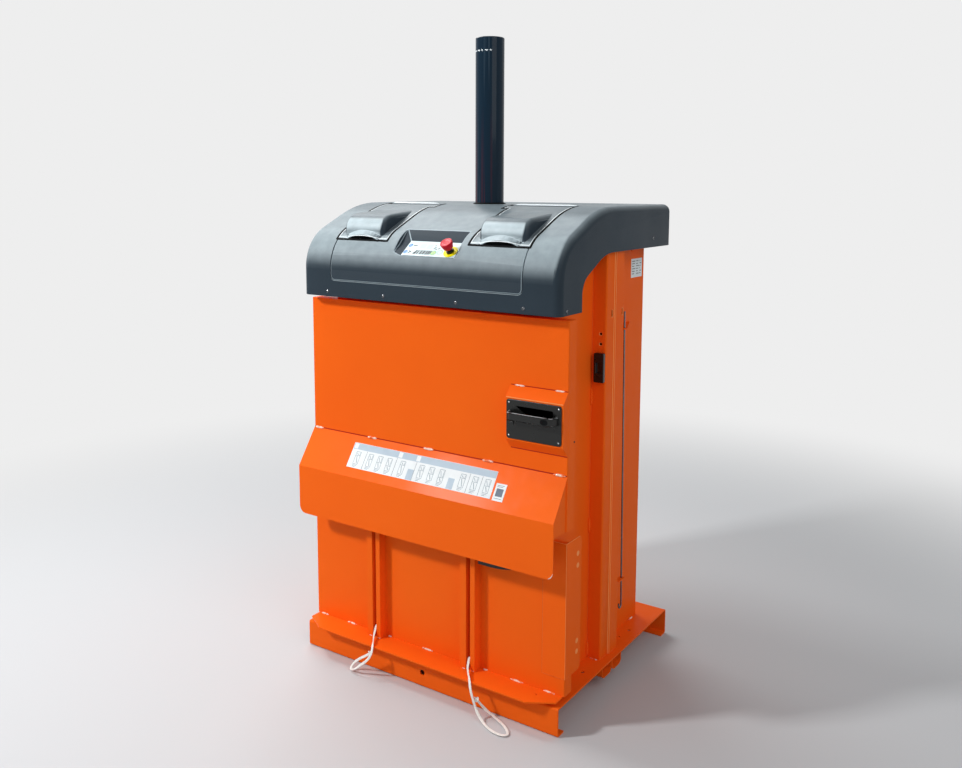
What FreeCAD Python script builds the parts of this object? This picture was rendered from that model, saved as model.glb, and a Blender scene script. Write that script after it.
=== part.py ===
"""Vertical recycling baler: press frame, two doors, hood, strap reels and press.

Millimetres, +Z up, +X to the machine's right, +Y to its back. Every Y below is
measured from the front face of the base; the origin is set under the middle of
the machine when the sub-parts are saved.
"""

import FreeCAD, Part

import math
import os

V = FreeCAD.Vector

# ---------------------------------------------------------------- base pallet
BASE_OVERHANG = 75.0          # past the chamber's inside, each side
BASE_DEPTH = 750.0
BASE_HEIGHT = 85.0
BASE_SHEET = 5.0
BASE_LIP = 35.0
BASE_BEND = 7.0
ANCHOR_INSET = 39.0           # from the base's side edges
ANCHOR_YS = (218.0, 539.0)
ANCHOR_RADIUS = 6.5
DRAIN_INSET = 46.0            # from the base's side edges
DRAIN_Y = 480.0
DRAIN_RADIUS = 4.5
FLANGE_HOLE_Z = 46.0
FLANGE_HOLE_RADIUS = 9.0
RUNNER_YS = (314.0, 381.0)
RUNNER_WIDTH = 62.0
RUNNER_DEPTH = 40.0
RUNNER_SHEET = 3.0
RUNNER_ROUND = 16.0
RUNNER_END_SETBACK = 5.0

# ------------------------------------------------------------- press chamber
CHAMBER_HALF = 400.0          # inside half width
DOOR_GAP = 3.0                # between the doors' backs and the chamber
BODY_BACK = 660.0
WALL_SHEET = 3.0
WALL_RISE = 160.0             # over the deck
POST_WIDTH = 48.0
POST_DEPTH = 48.0
SILL_Z0 = 462.0
SILL_Z1 = 575.0
DECK_Z = 1185.0
DECK_SHEET = 4.0
DECK_UPSTAND = 25.0
FLOOR_TRAY_HEIGHT = 15.0
FLOOR_TRAY_MARGIN = 3.0
STRAP_XS = (-198.5, 163.0)    # the two straps, seen from the front
STRAP_GROOVE = 24.0
BACK_RIB_DROPS = (115.0, 485.0, 855.0)  # below the deck
BACK_RIB_HEIGHT = 70.0
BACK_RIB_REACH = 30.0
BACK_RIB_SLOPE = 15.0
BACK_RIB_INSET = 20.0         # from the chamber's sides

# --------------------------------------------------------------- side columns
COLUMN_FRONT = 307.0
COLUMN_STEP = 357.0
COLUMN_BACK = 412.0
COLUMN_REACH = 46.0           # how far the front fold stands off the wall
COLUMN_STEP_OUT = 4.0
COLUMN_SHEET = 4.0
COLUMN_SLOT_DROP = 32.0       # below the deck
COLUMN_SLOT_HEIGHT = 20.0
COLUMN_SLOT_WIDTH = 8.0
CATCH_OFFSET = 28.5           # from the wall
CATCH_WIDTH = 33.0
CATCH_DROP = 234.0            # its foot below the deck
CATCH_HEIGHT = 88.0
CATCH_DEPTH = 12.0
CATCH_HOLE_DROPS = (120.0, 90.0)
CATCH_HOLE_RADIUS = 4.0

# ---------------------------------------------------------------------- doors
DOOR_REACH = 72.5             # past the chamber's inside, each side
DOOR_FACE = 41.0              # front face of both doors
DOOR_SHEET = 2.0
DOOR_DEPTH = 40.0
DOOR_BEND = 3.0
UPPER_BOTTOM = 582.0
UPPER_TOP_GAP = 14.0          # under the hood
LOWER_TOP = 455.0
SHELF_CLEARANCE = 11.0        # over the base
SHELF_SHEET = 4.0
SHELF_FRONT = -40.0
SHELF_SIDE_GAP = 6.0
SHELF_CHAMFER_X = 74.0
SHELF_CHAMFER_Y = 44.0
SHELF_HOLE_INSET = 74.5       # from the door's side
SHELF_HOLE_Y = 12.0
SHELF_HOLE_RADIUS = 3.5
CHANNEL_FACE = 11.0           # front plane of the strap channels
CHANNEL_GAP = 15.0
CHANNEL_LEFT_STRIP = 22.0
CHANNEL_RIGHT_STRIP = 16.0
DEFLECTOR_SHEET = 2.5
DEFLECTOR_OVERHANG = 0.5      # past the door's sides
DEFLECTOR_TOP = 739.0
DEFLECTOR_BEND_Z = 627.0
DEFLECTOR_REACH = 75.0
DEFLECTOR_BOTTOM = 470.0
DEFLECTOR_ROUND = 25.0
CHEEK_INSET = 4.5
CHEEK_SHEET = 2.0
WRAP_SHEET = 2.5
WRAP_Z0 = 153.0
WRAP_Z1 = 549.0
WRAP_FRONT_LEG = 75.0
WRAP_SIDE_LEG = 86.5
WRAP_ROUND = 12.0
LOWER_PULL_INSET = 140.5      # from the door's side
LOWER_PULL_WIDTH = 137.0
LOWER_PULL_HEIGHT = 27.0
LOWER_PULL_DEPTH = 26.0
LOWER_PULL_WALL = 3.0
LOWER_PULL_ROUND = 8.0
SLOT_SILL = 3.0               # door left below the strap slots
SLOT_HEAD = 12.0              # and above them

# ------------------------------------------------------- upper door's handle
HANDLE_WIDTH = 184.5          # up to the door's side
HANDLE_REACH = 27.0
HANDLE_DROP = 194.0           # below the door's top
HANDLE_HEIGHT = 179.0
HANDLE_SLOPE = 29.0
HANDLE_SHEET = 2.0
PULL_MARGIN = 4.5             # from the housing's flat face to the plate
PULL_PLATE = 3.0
PULL_CORNER = 8.0
PULL_BORDER = 13.0            # above the pocket
PULL_SIDE = 22.0              # beside it
PULL_WALL = 2.0
PULL_DEPTH = 23.0
PULL_LOW = 57.0               # from the plate's top to the pocket's floor
GRIP_DROP = 32.0              # from the plate's top to the grip's
GRIP_HEIGHT = 23.0
GRIP_REACH = 25.0
GRIP_WALL = 7.0
GRIP_MARGIN = 10.0
GRIP_SLANT = 9.0              # how much narrower it is at its front, each side
GRIP_ROUND = 12.0
GRIP_EDGE = 2.0

# -------------------------------------------------------------------- hinges
HINGE_INSET = 22.5            # from the doors' sides
HINGE_SETBACK = 24.0          # behind the doors' backs
PIN_RADIUS = 5.0
PIN_CLEARANCE = 0.08
KNUCKLE_RADIUS = 9.0
KNUCKLE_LENGTH = 56.0
EAR_LENGTH = 10.0
EAR_GAP = 0.5
LEAF_SHEET = 3.0
LEAF_REACH = 26.0             # inwards from the hinge
UPPER_KNUCKLE_LOW = 68.0      # from the door's foot
UPPER_KNUCKLE_HIGH = 88.0     # from the door's top
LOWER_KNUCKLE_LOW = 46.0      # from the wrap plate's foot
LOWER_KNUCKLE_HIGH = 92.5     # from the wrap plate's top
KEEPER_WIDTH = 52.0
KEEPER_DEPTH = 20.0
KEEPER_HEIGHT = 80.0
KEEPER_DROP = 128.0           # below the upper door's top
KEEPER_LOWER_Z = 250.0
DOOR_REST_GAP = 0.3

# --------------------------------------------------------- cylinder and press
CYLINDER_Y = 362.0
CYLINDER_RADIUS = 45.5
CYLINDER_BORE = 37.5
CYLINDER_RISE = 800.0         # over the deck
CYLINDER_CAP = 7.0
CYLINDER_CAP_CHAMFER = 2.0
CROSSHEAD_LIFT = 41.0         # over the deck
CROSSHEAD_SHEET = 10.0
CROSSHEAD_HEIGHT = 100.0
CROSSHEAD_WEB = 8.0
CROSSHEAD_DEPTH = 124.0
FLANGE_THICKNESS = 15.0
FLANGE_HALF_X = 78.0
FLANGE_HALF_Y = 46.0
FLANGE_BOLT_X = 62.0
FLANGE_BOLT_Y = 32.0
BOLT_RADIUS = 6.0
BOLT_HEAD_RADIUS = 10.0
BOLT_HEAD = 8.0
ROD_RADIUS = 22.5
ROD_CLEARANCE = 0.05
ROD_LENGTH = 724.0
PISTON_THICKNESS = 25.0
DECK_BORE_EXTRA = 10.0
PLATEN_SIDE_GAP = 12.0
PLATEN_FRONT = 140.0
PLATEN_BACK_GAP = 9.0
PLATEN_SHEET = 8.0
PLATEN_DEPTH = 116.0
PLATEN_HEADROOM = 9.0         # under the deck at rest
PLATEN_RIB = 72.0
PLATEN_RIB_YS = (250.0, 466.0)
PLATEN_CROSS_XS = (-300.0, -56.0, 48.0, 292.0)
PLATEN_HUB_RADIUS = 46.0
PLATEN_PAD = 12.0

# ----------------------------------------------------------------------- hood
HOOD_REACH = 67.0             # past the chamber's inside, each side
HOOD_FRONT = -4.0
HOOD_BACK = 727.0
HOOD_WALL = 4.0
HOOD_DROP = 3.0               # below the deck
HOOD_HEIGHT = 287.0
HOOD_NOSE_RADIUS = 140.0
HOOD_LEG = 85.0               # straight part below the nose
HOOD_SLOPE = math.radians(24.5)
HOOD_BROW_RADIUS = 389.0
HOOD_BACK_RADIUS = 25.0
HOOD_SIDE_ROUND = 22.0
HOOD_LEG_BACK = 122.0
HOOD_ARCH_RISE = 82.0
HOOD_ARCH_BACK_Y = 262.0
HOOD_SKIRT = 132.0            # from the roof to the side's lower edge
HOOD_ARCH_ROUNDS = (60.0, 200.0)
SEAM = 2.0
LIP_WIDTH = 10.0
LIP_SHEET = 3.0
LIP_CLEARANCE = 0.3
CONSOLE_INSET = 119.0         # from the hood's sides
CONSOLE_RISE = 54.0           # over the hood's lower edge
CONSOLE_CORNER = 14.0
CONSOLE_TOP_BACK = 31.0
SPINE_HALF = 148.0
SPINE_NECK = 126.0            # half width between the lids' rear tabs
SPINE_NECK_Y = 240.0
LID_INSET = 115.0             # from the hood's sides
LID_BACK = 280.0
ROOF_START = 302.0
ROOF_BACK = 700.0
TUBE_CLEARANCE = 2.0
LID_DOME_INSET = (24.0, 18.0)  # from the lid's inner and outer edges
LID_DOME_FRONT = 44.0
LID_DOME_BACK = 225.0
LID_DOME_NOSE = 52.0
LID_DOME_DROP = 81.0          # its nose's centre below the roof
LID_DOME_SLOPE = math.radians(4.5)
LID_DOME_ROUND = 16.0
LID_DOME_WALL = 3.0
FINGER_HALF = 66.0
FINGER_RISE = 11.0            # the arch for the fingers over the lid
FINGER_RUN = 30.0
LID_HINGE_Y = 290.0
LID_HINGE_DROP = 11.0         # below the roof's inner face
LID_PIN_RADIUS = 3.0
LID_KNUCKLE_RADIUS = 6.0
LID_KNUCKLE_LENGTH = 30.0
LID_KNUCKLE_INSET = 30.0
BRACKET_Y = 587.0
BRACKET_HEIGHT = 31.0
BRACKET_SHEET = 3.0
BRACKET_LENGTH = 44.0

# -------------------------------------------------------------- control panel
PANEL_X0 = -77.0
PANEL_X1 = 115.0
PANEL_Y0 = 8.5
PANEL_RISE = 140.0            # its front edge over the hood's lower edge
PANEL_DEPTH = 50.5
PANEL_LIFT = 39.0             # from its front edge to its back edge
PANEL_SHEET = 2.0
RECESS_LEFT = 31.0            # how much wider its mouth is than the panel
RECESS_RIGHT = 8.0
RECESS_FRONT_LIFT = 5.0
RECESS_BACK = 24.0
RECESS_BACK_LIFT = 37.0
RECESS_PAST = 3.0             # the cut runs this many times as far as the mouth
TRAY_SHEET = 3.0
ESTOP_X = 91.0
ESTOP_ALONG = 23.0            # from the panel's front edge
ESTOP_COLLAR_RADIUS = 22.0
ESTOP_COLLAR = 2.0
ESTOP_BASE_RADIUS = 12.0
ESTOP_BASE = 8.0
ESTOP_HEAD_RADIUS = 17.5
ESTOP_HEAD = 26.0
ESTOP_HEAD_ROUND = 4.0
ESTOP_NECK = 5.0
ESTOP_STEM_RADIUS = 8.0
ESTOP_STEM_CLEARANCE = 0.08
ESTOP_TRAVEL = 4.0

# ---------------------------------------------------------------- strap reels
REEL_Y = 160.0
REEL_LIFT = 109.0             # axis over the deck
REEL_RADIUS = 88.0
COIL_RADIUS = 76.0
REEL_CORE_RADIUS = 30.0
REEL_FLANGE = 2.5
REEL_INSET = (24.0, 16.0)     # from the lid's inner and outer edges
SPINDLE_RADIUS = 12.0
SPINDLE_CLEARANCE = 0.08
STAND_SHEET = 4.0
STAND_HALF_Y = 34.0
STAND_GAP = 0.3
STAND_CROWN = 22.0

# ------------------------------------------------------------- hydraulic unit
TANK_INSET = 20.0             # from the chamber's side
TANK_WIDTH = 260.0
TANK_Y0 = 455.0
TANK_Y1 = 640.0
TANK_HEIGHT = 203.0
TANK_ROUND = 12.0
FILLER_RADIUS = 18.0
FILLER_INSET = 48.0
FILLER_HEIGHT = 12.0
MOTOR_RADIUS = 70.0
COWL_STEP = 4.0
COWL_LENGTH = 42.0
MOTOR_X0 = 60.0
MOTOR_INSET = 100.0           # from the chamber's side
MOTOR_Y = 548.0
MOTOR_LIFT = 103.0            # axis over the deck
MOTOR_FOOT_HALF = 44.0
MOTOR_FOOT_INSET = 35.0
VALVE_HALF_Y = 42.0
VALVE_DROP = 46.0             # below the motor's axis
VALVE_RISE = 70.0             # above it
PIPE_RADIUS = 6.0
PIPE_LIFT = 18.0              # over the crosshead
BOX_HALF_X = 112.0
BOX_Y0 = 96.0
BOX_Y1 = 284.0
BOX_HEIGHT = 149.0
BOX_ROUND = 6.0

# ----------------------------------------------------------- labels and tools
LABEL_SHEET = 0.6
LABEL_X0 = -283.0
LABEL_X1 = 257.0
LABEL_FROM = 24.0             # down the slope from its top edge
LABEL_TO = 105.0
SMALL_LABEL_X0 = 264.0
SMALL_LABEL_X1 = 299.0
SMALL_LABEL_FROM = 56.0
SMALL_LABEL_TO = 107.0
PLATE_Y0 = 566.0
PLATE_Y1 = 646.0
PLATE_DROP = 47.0             # below the wall's top
PLATE_HEIGHT = 60.0
TOOL_RADIUS = 2.5
TOOL_OFFSET = 48.0            # from the wall
TOOL_SETBACK = (13.0, 31.0)   # its top and foot behind the column
TOOL_TOP_DROP = 34.0          # below the deck
TOOL_FOOT_Z = 214.0
TOOL_HOOK = 8.0
HOOK_DROP = 88.0              # below the deck
HOOK_SHEET = 3.0
HOOK_LENGTH = 150.0           # along the wall
HOOK_REACH = 56.0
HOOK_TIP = 20.0
HOOK_TOOTH = 15.0
CLIP_Z = 300.0
CLIP_REACH = 38.0             # behind the column

# --------------------------------------------------------------------- straps
STRAP_RADIUS = 3.5
STRAP_SHARE = 0.45            # of the shorter run that each bend takes
LEFT_STRAP = (
    (-198.5, 20, 138), (-196, 6, 116), (-182, -14, 108), (-163, -40, 108), (-156, -54, 86),
    (-168, -58, 62), (-196, -59, 38), (-226, -60, 13), (-247, -53, 6), (-240, -44, 26),
    (-214, -43, 47), (-186, -45, 65), (-167, -48, 80),
)
RIGHT_STRAP = (
    (163, 20, 138), (165, 6, 116), (181, -14, 108), (204, -40, 108), (217, -54, 85),
    (226, -52, 54), (236, -48, 21), (262, -58, 4), (305, -80, 4), (346, -84, 5),
    (357, -66, 4), (325, -38, 4), (280, -19, 5), (248, -29, 27), (231, -43, 56),
)

BASE_WIDTH = 2 * (CHAMBER_HALF + BASE_OVERHANG)
ANCHOR_X = BASE_WIDTH / 2 - ANCHOR_INSET
DRAIN_X = BASE_WIDTH / 2 - DRAIN_INSET
WALL_OUT = CHAMBER_HALF + WALL_SHEET
WALL_TOP = DECK_Z + WALL_RISE
BACK_RIB_HALF = CHAMBER_HALF - BACK_RIB_INSET
BACK_RIB_ZS = [DECK_Z - drop for drop in BACK_RIB_DROPS]
COLUMN_SLOT_Z = DECK_Z - COLUMN_SLOT_DROP
CATCH_Z0 = DECK_Z - CATCH_DROP
CATCH_Z1 = CATCH_Z0 + CATCH_HEIGHT
CATCH_HOLE_ZS = [DECK_Z - drop for drop in CATCH_HOLE_DROPS]
HOOD_BOTTOM = DECK_Z - HOOD_DROP
DOOR_HALF = CHAMBER_HALF + DOOR_REACH
UPPER_TOP = HOOD_BOTTOM - UPPER_TOP_GAP
SHELF_HOLE_X = DOOR_HALF - SHELF_HOLE_INSET
DEFLECTOR_HALF = DOOR_HALF + DEFLECTOR_OVERHANG
LOWER_PULL_X1 = DOOR_HALF - LOWER_PULL_INSET
LOWER_PULL_X0 = LOWER_PULL_X1 - LOWER_PULL_WIDTH
LOWER_PULL_Z0 = LOWER_TOP - LOWER_PULL_HEIGHT
HANDLE_X0 = DOOR_HALF - HANDLE_WIDTH
HANDLE_Z1 = UPPER_TOP - HANDLE_DROP
HANDLE_Z0 = HANDLE_Z1 - HANDLE_HEIGHT
HINGE_X = DOOR_HALF - HINGE_INSET
LEAF_INNER_X = HINGE_X - LEAF_REACH
UPPER_KNUCKLE_ZS = (UPPER_BOTTOM + UPPER_KNUCKLE_LOW, UPPER_TOP - UPPER_KNUCKLE_HIGH)
LOWER_KNUCKLE_ZS = (WRAP_Z0 + LOWER_KNUCKLE_LOW, WRAP_Z1 - LOWER_KNUCKLE_HIGH)
KEEPER_UPPER_Z = UPPER_TOP - KEEPER_DROP
CYLINDER_TOP = DECK_Z + CYLINDER_RISE
HOOD_HALF = CHAMBER_HALF + HOOD_REACH
CONSOLE_HALF = HOOD_HALF - CONSOLE_INSET
LID_OUTER_X = HOOD_HALF - LID_INSET
TANK_X0 = TANK_INSET - CHAMBER_HALF
TANK_X1 = TANK_X0 + TANK_WIDTH
MOTOR_X1 = CHAMBER_HALF - MOTOR_INSET
PLATE_Z1 = WALL_TOP - PLATE_DROP
PLATE_Z0 = PLATE_Z1 - PLATE_HEIGHT
TOOL_TOP_Z = DECK_Z - TOOL_TOP_DROP
HOOK_Z = DECK_Z - HOOK_DROP
SHELF_TOP = BASE_HEIGHT + SHELF_CLEARANCE + SHELF_SHEET
DOOR_BACK = DOOR_FACE + DOOR_DEPTH
BODY_FRONT = DOOR_BACK + DOOR_GAP
HINGE_Y = DOOR_BACK + HINGE_SETBACK
DEFLECTOR_FACE = DOOR_FACE - DEFLECTOR_REACH
HANDLE_FACE = DOOR_FACE - HANDLE_REACH
PULL_X0 = HANDLE_X0 + PULL_MARGIN
PULL_X1 = DOOR_HALF - PULL_MARGIN
PULL_Z0 = HANDLE_Z0 + HANDLE_SLOPE + PULL_MARGIN
PULL_Z1 = HANDLE_Z1 - HANDLE_SLOPE - PULL_MARGIN
CATCH_X = WALL_OUT + CATCH_OFFSET
TOOL_X = WALL_OUT + TOOL_OFFSET
TOOL_TOP_Y = COLUMN_BACK + TOOL_SETBACK[0]
TOOL_FOOT_Y = COLUMN_BACK + TOOL_SETBACK[1]
HOOK_X1 = WALL_OUT + HOOK_REACH
DECK_TOP = DECK_Z + DECK_SHEET
CROSSHEAD_Z = DECK_TOP + CROSSHEAD_LIFT
PLATEN_TOP = DECK_Z - PLATEN_HEADROOM
PLATEN_Z = PLATEN_TOP - PLATEN_DEPTH
HOOD_TOP = HOOD_BOTTOM + HOOD_HEIGHT
HOOD_NOSE_Z = HOOD_BOTTOM + HOOD_LEG
HOOD_ARCH_Z = HOOD_BOTTOM + HOOD_ARCH_RISE
HOOD_UNDERSIDE = HOOD_TOP - HOOD_SKIRT
CONSOLE_BOTTOM = HOOD_BOTTOM + CONSOLE_RISE
PANEL_Z0 = HOOD_BOTTOM + PANEL_RISE
LID_INNER_X = SPINE_HALF + SEAM
LID_FRONT = CONSOLE_TOP_BACK + SEAM
REEL_Z = DECK_TOP + REEL_LIFT
REEL_X0 = LID_INNER_X + REEL_INSET[0]
REEL_X1 = LID_OUTER_X - REEL_INSET[1]
MOTOR_Z = DECK_TOP + MOTOR_LIFT
HOOD_BROW_Z = HOOD_TOP - HOOD_BROW_RADIUS
HOOD_NOSE_Y = HOOD_FRONT + HOOD_NOSE_RADIUS
HOOD_BROW_RISE = HOOD_BROW_RADIUS * math.cos(HOOD_SLOPE)
HOOD_NOSE_END_Y = HOOD_NOSE_Y - HOOD_NOSE_RADIUS * math.sin(HOOD_SLOPE)
HOOD_NOSE_END_Z = HOOD_NOSE_Z + HOOD_NOSE_RADIUS * math.cos(HOOD_SLOPE)
HOOD_BROW_START_Z = HOOD_BROW_Z + HOOD_BROW_RISE
HOOD_BROW_START_Y = (HOOD_NOSE_END_Y
                     + (HOOD_BROW_START_Z - HOOD_NOSE_END_Z) / math.tan(HOOD_SLOPE))
HOOD_BROW_Y = HOOD_BROW_START_Y + HOOD_BROW_RADIUS * math.sin(HOOD_SLOPE)
FLANGE_Z = CROSSHEAD_Z + CROSSHEAD_SHEET
BARREL_Z = FLANGE_Z + FLANGE_THICKNESS
ORIGIN_Y = (BASE_DEPTH + SHELF_FRONT) / 2
FAR = 2000.0


# ------------------------------------------------------------------- helpers
def box(x0, x1, y0, y1, z0, z1):
    """An upright block between two corners."""
    return Part.makeBox(x1 - x0, y1 - y0, z1 - z0, V(x0, y0, z0))


def rod(radius, start, end):
    """A round bar from one point to another."""
    line = end - start
    return Part.makeCylinder(radius, line.Length, start, line)


def ring(outer, inner, start, end):
    """A round tube from one point to another."""
    return rod(outer, start, end).cut(rod(inner, start, end))


def joined(shapes):
    """One solid from several that touch or cross."""
    shapes = list(shapes)
    whole = shapes[0].fuse(shapes[1:]) if len(shapes) > 1 else shapes[0]
    return whole.removeSplitter()


def mirrored(shape):
    """The same shape on the machine's other side."""
    return shape.mirror(V(0, 0, 0), V(1, 0, 0))


def both_sides(shape):
    """The shape and its mirror image, as separate solids."""
    return Part.makeCompound([shape, mirrored(shape)])


def outline(points, rounds=None):
    """A closed wire through 3-D corners, rounded where a radius is given."""
    rounds = rounds or {}
    count = len(points)
    entries = []
    for index, corner in enumerate(points):
        radius = rounds.get(index, 0)
        if not radius:
            entries.append((corner, None, corner))
            continue
        back = (points[index - 1] - corner).normalize()
        ahead = (points[(index + 1) % count] - corner).normalize()
        half = back.getAngle(ahead) / 2
        reach = radius / math.tan(half)
        middle = corner + (back + ahead).normalize() * (radius / math.sin(half) - radius)
        entries.append((corner + back * reach, middle, corner + ahead * reach))
    edges = []
    for index, (start, middle, end) in enumerate(entries):
        if middle:
            edges.append(Part.Arc(start, middle, end).toShape())
        following = entries[(index + 1) % count][0]
        if (following - end).Length > 1e-6:
            edges.append(Part.makeLine(end, following))
    return Part.Wire(edges)


def profile_x(points, x0, x1, rounds=None):
    """A (y, z) outline drawn out along X."""
    wire = outline([V(x0, y, z) for y, z in points], rounds)
    return Part.Face(wire).extrude(V(x1 - x0, 0, 0))


def profile_y(points, y0, y1, rounds=None):
    """An (x, z) outline drawn out along Y."""
    wire = outline([V(x, y0, z) for x, z in points], rounds)
    return Part.Face(wire).extrude(V(0, y1 - y0, 0))


def profile_z(points, z0, z1, rounds=None):
    """An (x, y) outline drawn out along Z."""
    wire = outline([V(x, y, z0) for x, y in points], rounds)
    return Part.Face(wire).extrude(V(0, 0, z1 - z0))


def rectangle(a0, a1, b0, b1):
    """The four corners of an outline."""
    return [(a0, b0), (a1, b0), (a1, b1), (a0, b1)]


def softened(shape, radius, chosen):
    """The shape with a radius on each straight edge that the test picks."""
    edges = [edge for edge in shape.Edges if chosen(edge)]
    return shape.makeFillet(radius, edges) if edges else shape


def runs_along(edge, axis):
    """Whether a straight edge lies along 0 (X), 1 (Y) or 2 (Z)."""
    if not isinstance(edge.Curve, Part.Line):
        return False
    return abs(edge.tangentAt(edge.FirstParameter)[axis]) > 0.999


def tube_along(points, radius, share):
    """A round tube of straight runs that tangent arcs join, as large as a share allows."""
    edges = []
    start = points[0]
    radii = []
    for before, corner, after in zip(points, points[1:], points[2:]):
        back = (before - corner).normalize()
        ahead = (after - corner).normalize()
        half = back.getAngle(ahead) / 2
        reach = share * min((before - corner).Length, (after - corner).Length)
        arc_radius = reach * math.tan(half)
        radii.append(arc_radius)
        first = corner + back * reach
        last = corner + ahead * reach
        middle = corner + (back + ahead).normalize() * (arc_radius / math.sin(half) - arc_radius)
        edges.append(Part.makeLine(start, first))
        edges.append(Part.Arc(first, middle, last).toShape())
        start = last
    edges.append(Part.makeLine(start, points[-1]))
    spine = Part.Wire(edges)
    circle = Part.Wire(Part.makeCircle(radius, points[0], points[1] - points[0]))
    tube = spine.makePipeShell([circle], True, True)
    return tube, spine.Length, radii


# ----------------------------------------------------------------- base frame
def base_frame():
    """Pallet: one plate with C-folded front and back edges."""
    section = [
        (0, 0), (BASE_LIP, 0), (BASE_LIP, BASE_SHEET), (BASE_SHEET, BASE_SHEET),
        (BASE_SHEET, BASE_HEIGHT - BASE_SHEET),
        (BASE_DEPTH - BASE_SHEET, BASE_HEIGHT - BASE_SHEET),
        (BASE_DEPTH - BASE_SHEET, BASE_SHEET), (BASE_DEPTH - BASE_LIP, BASE_SHEET),
        (BASE_DEPTH - BASE_LIP, 0), (BASE_DEPTH, 0),
        (BASE_DEPTH, BASE_HEIGHT), (0, BASE_HEIGHT),
    ]
    outer_bends = {0: BASE_BEND, 9: BASE_BEND, 10: BASE_BEND, 11: BASE_BEND}
    inner_bends = {index: BASE_BEND - BASE_SHEET for index in (3, 4, 5, 6)}
    pallet = profile_x(section, -BASE_WIDTH / 2, BASE_WIDTH / 2, {**outer_bends, **inner_bends})
    holes = [
        rod(ANCHOR_RADIUS, V(side * ANCHOR_X, y, 0), V(side * ANCHOR_X, y, BASE_HEIGHT + 1))
        for side in (-1, 1) for y in ANCHOR_YS
    ]
    holes += [rod(DRAIN_RADIUS, V(side * DRAIN_X, DRAIN_Y, 0), V(side * DRAIN_X, DRAIN_Y, BASE_HEIGHT + 1))
              for side in (-1, 1)]
    holes.append(rod(FLANGE_HOLE_RADIUS, V(0, -1, FLANGE_HOLE_Z), V(0, BASE_SHEET + 1, FLANGE_HOLE_Z)))
    return pallet.cut(holes)


def base_runners():
    """Two round-bottomed channels that stiffen the plate from below."""
    top = BASE_HEIGHT - BASE_SHEET
    end = BASE_WIDTH / 2 - RUNNER_END_SETBACK
    channels = []
    for y in RUNNER_YS:
        half = RUNNER_WIDTH / 2
        outer = profile_x(rectangle(y - half, y + half, top - RUNNER_DEPTH, top), -end, end,
                          {0: RUNNER_ROUND, 1: RUNNER_ROUND})
        inner = profile_x(rectangle(y - half + RUNNER_SHEET, y + half - RUNNER_SHEET,
                                    top - RUNNER_DEPTH + RUNNER_SHEET, top), -end, end,
                          {0: RUNNER_ROUND - RUNNER_SHEET, 1: RUNNER_ROUND - RUNNER_SHEET})
        channels.append(outer.cut(inner))
    return Part.makeCompound(channels)


# -------------------------------------------------------------- press chamber
def side_wall():
    """Right wall of the chamber."""
    return box(CHAMBER_HALF, WALL_OUT, BODY_FRONT, BODY_BACK, BASE_HEIGHT, WALL_TOP)


def back_wall():
    """Back wall, between the side walls."""
    return box(-CHAMBER_HALF, CHAMBER_HALF, BODY_BACK - WALL_SHEET, BODY_BACK,
               BASE_HEIGHT, WALL_TOP)


def back_ribs():
    """Pressed hat sections across the back wall."""
    ribs = []
    for z in BACK_RIB_ZS:
        def section(inset):
            return [
                (BODY_BACK, z + inset), (BODY_BACK + BACK_RIB_REACH - inset,
                                         z + BACK_RIB_SLOPE + inset / 2),
                (BODY_BACK + BACK_RIB_REACH - inset, z + BACK_RIB_HEIGHT - BACK_RIB_SLOPE - inset / 2),
                (BODY_BACK, z + BACK_RIB_HEIGHT - inset),
            ]
        outer = profile_x(section(0), -BACK_RIB_HALF, BACK_RIB_HALF)
        ribs.append(outer.cut(profile_x(section(WALL_SHEET), -BACK_RIB_HALF, BACK_RIB_HALF)))
    return Part.makeCompound(ribs)


def front_post():
    """Right front post, a square tube inside the wall's front edge."""
    x1 = CHAMBER_HALF
    x0 = x1 - POST_WIDTH
    outer = profile_z(rectangle(x0, x1, BODY_FRONT, BODY_FRONT + POST_DEPTH), BASE_HEIGHT, DECK_Z)
    inner = profile_z(rectangle(x0 + WALL_SHEET, x1 - WALL_SHEET, BODY_FRONT + WALL_SHEET,
                                BODY_FRONT + POST_DEPTH - WALL_SHEET), BASE_HEIGHT, DECK_Z)
    return outer.cut(inner)


def sill_beam():
    """Cross tube between the feed opening and the bale door."""
    half = CHAMBER_HALF - POST_WIDTH
    outer = profile_x(rectangle(BODY_FRONT, BODY_FRONT + POST_DEPTH, SILL_Z0, SILL_Z1), -half, half)
    inner = profile_x(rectangle(BODY_FRONT + WALL_SHEET, BODY_FRONT + POST_DEPTH - WALL_SHEET,
                                SILL_Z0 + WALL_SHEET, SILL_Z1 - WALL_SHEET), -half, half)
    return outer.cut(inner)


def strap_spans(half):
    """The widths left between the strap grooves, out to a half width."""
    edges = [-half]
    for x in STRAP_XS:
        edges += [x - STRAP_GROOVE / 2, x + STRAP_GROOVE / 2]
    edges.append(half)
    return list(zip(edges[0::2], edges[1::2]))


def floor_trays():
    """Folded trays on the chamber floor, with a groove for each strap between them."""
    y0 = BODY_FRONT + FLOOR_TRAY_MARGIN
    y1 = BODY_BACK - WALL_SHEET - FLOOR_TRAY_MARGIN
    top = BASE_HEIGHT + FLOOR_TRAY_HEIGHT
    trays = []
    for x0, x1 in strap_spans(CHAMBER_HALF - POST_WIDTH - FLOOR_TRAY_MARGIN):
        whole = box(x0, x1, y0, y1, BASE_HEIGHT, top)
        hollow = box(x0 + WALL_SHEET, x1 - WALL_SHEET, y0, y1, BASE_HEIGHT, top - WALL_SHEET)
        trays.append(whole.cut(hollow))
    return Part.makeCompound(trays)


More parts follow.
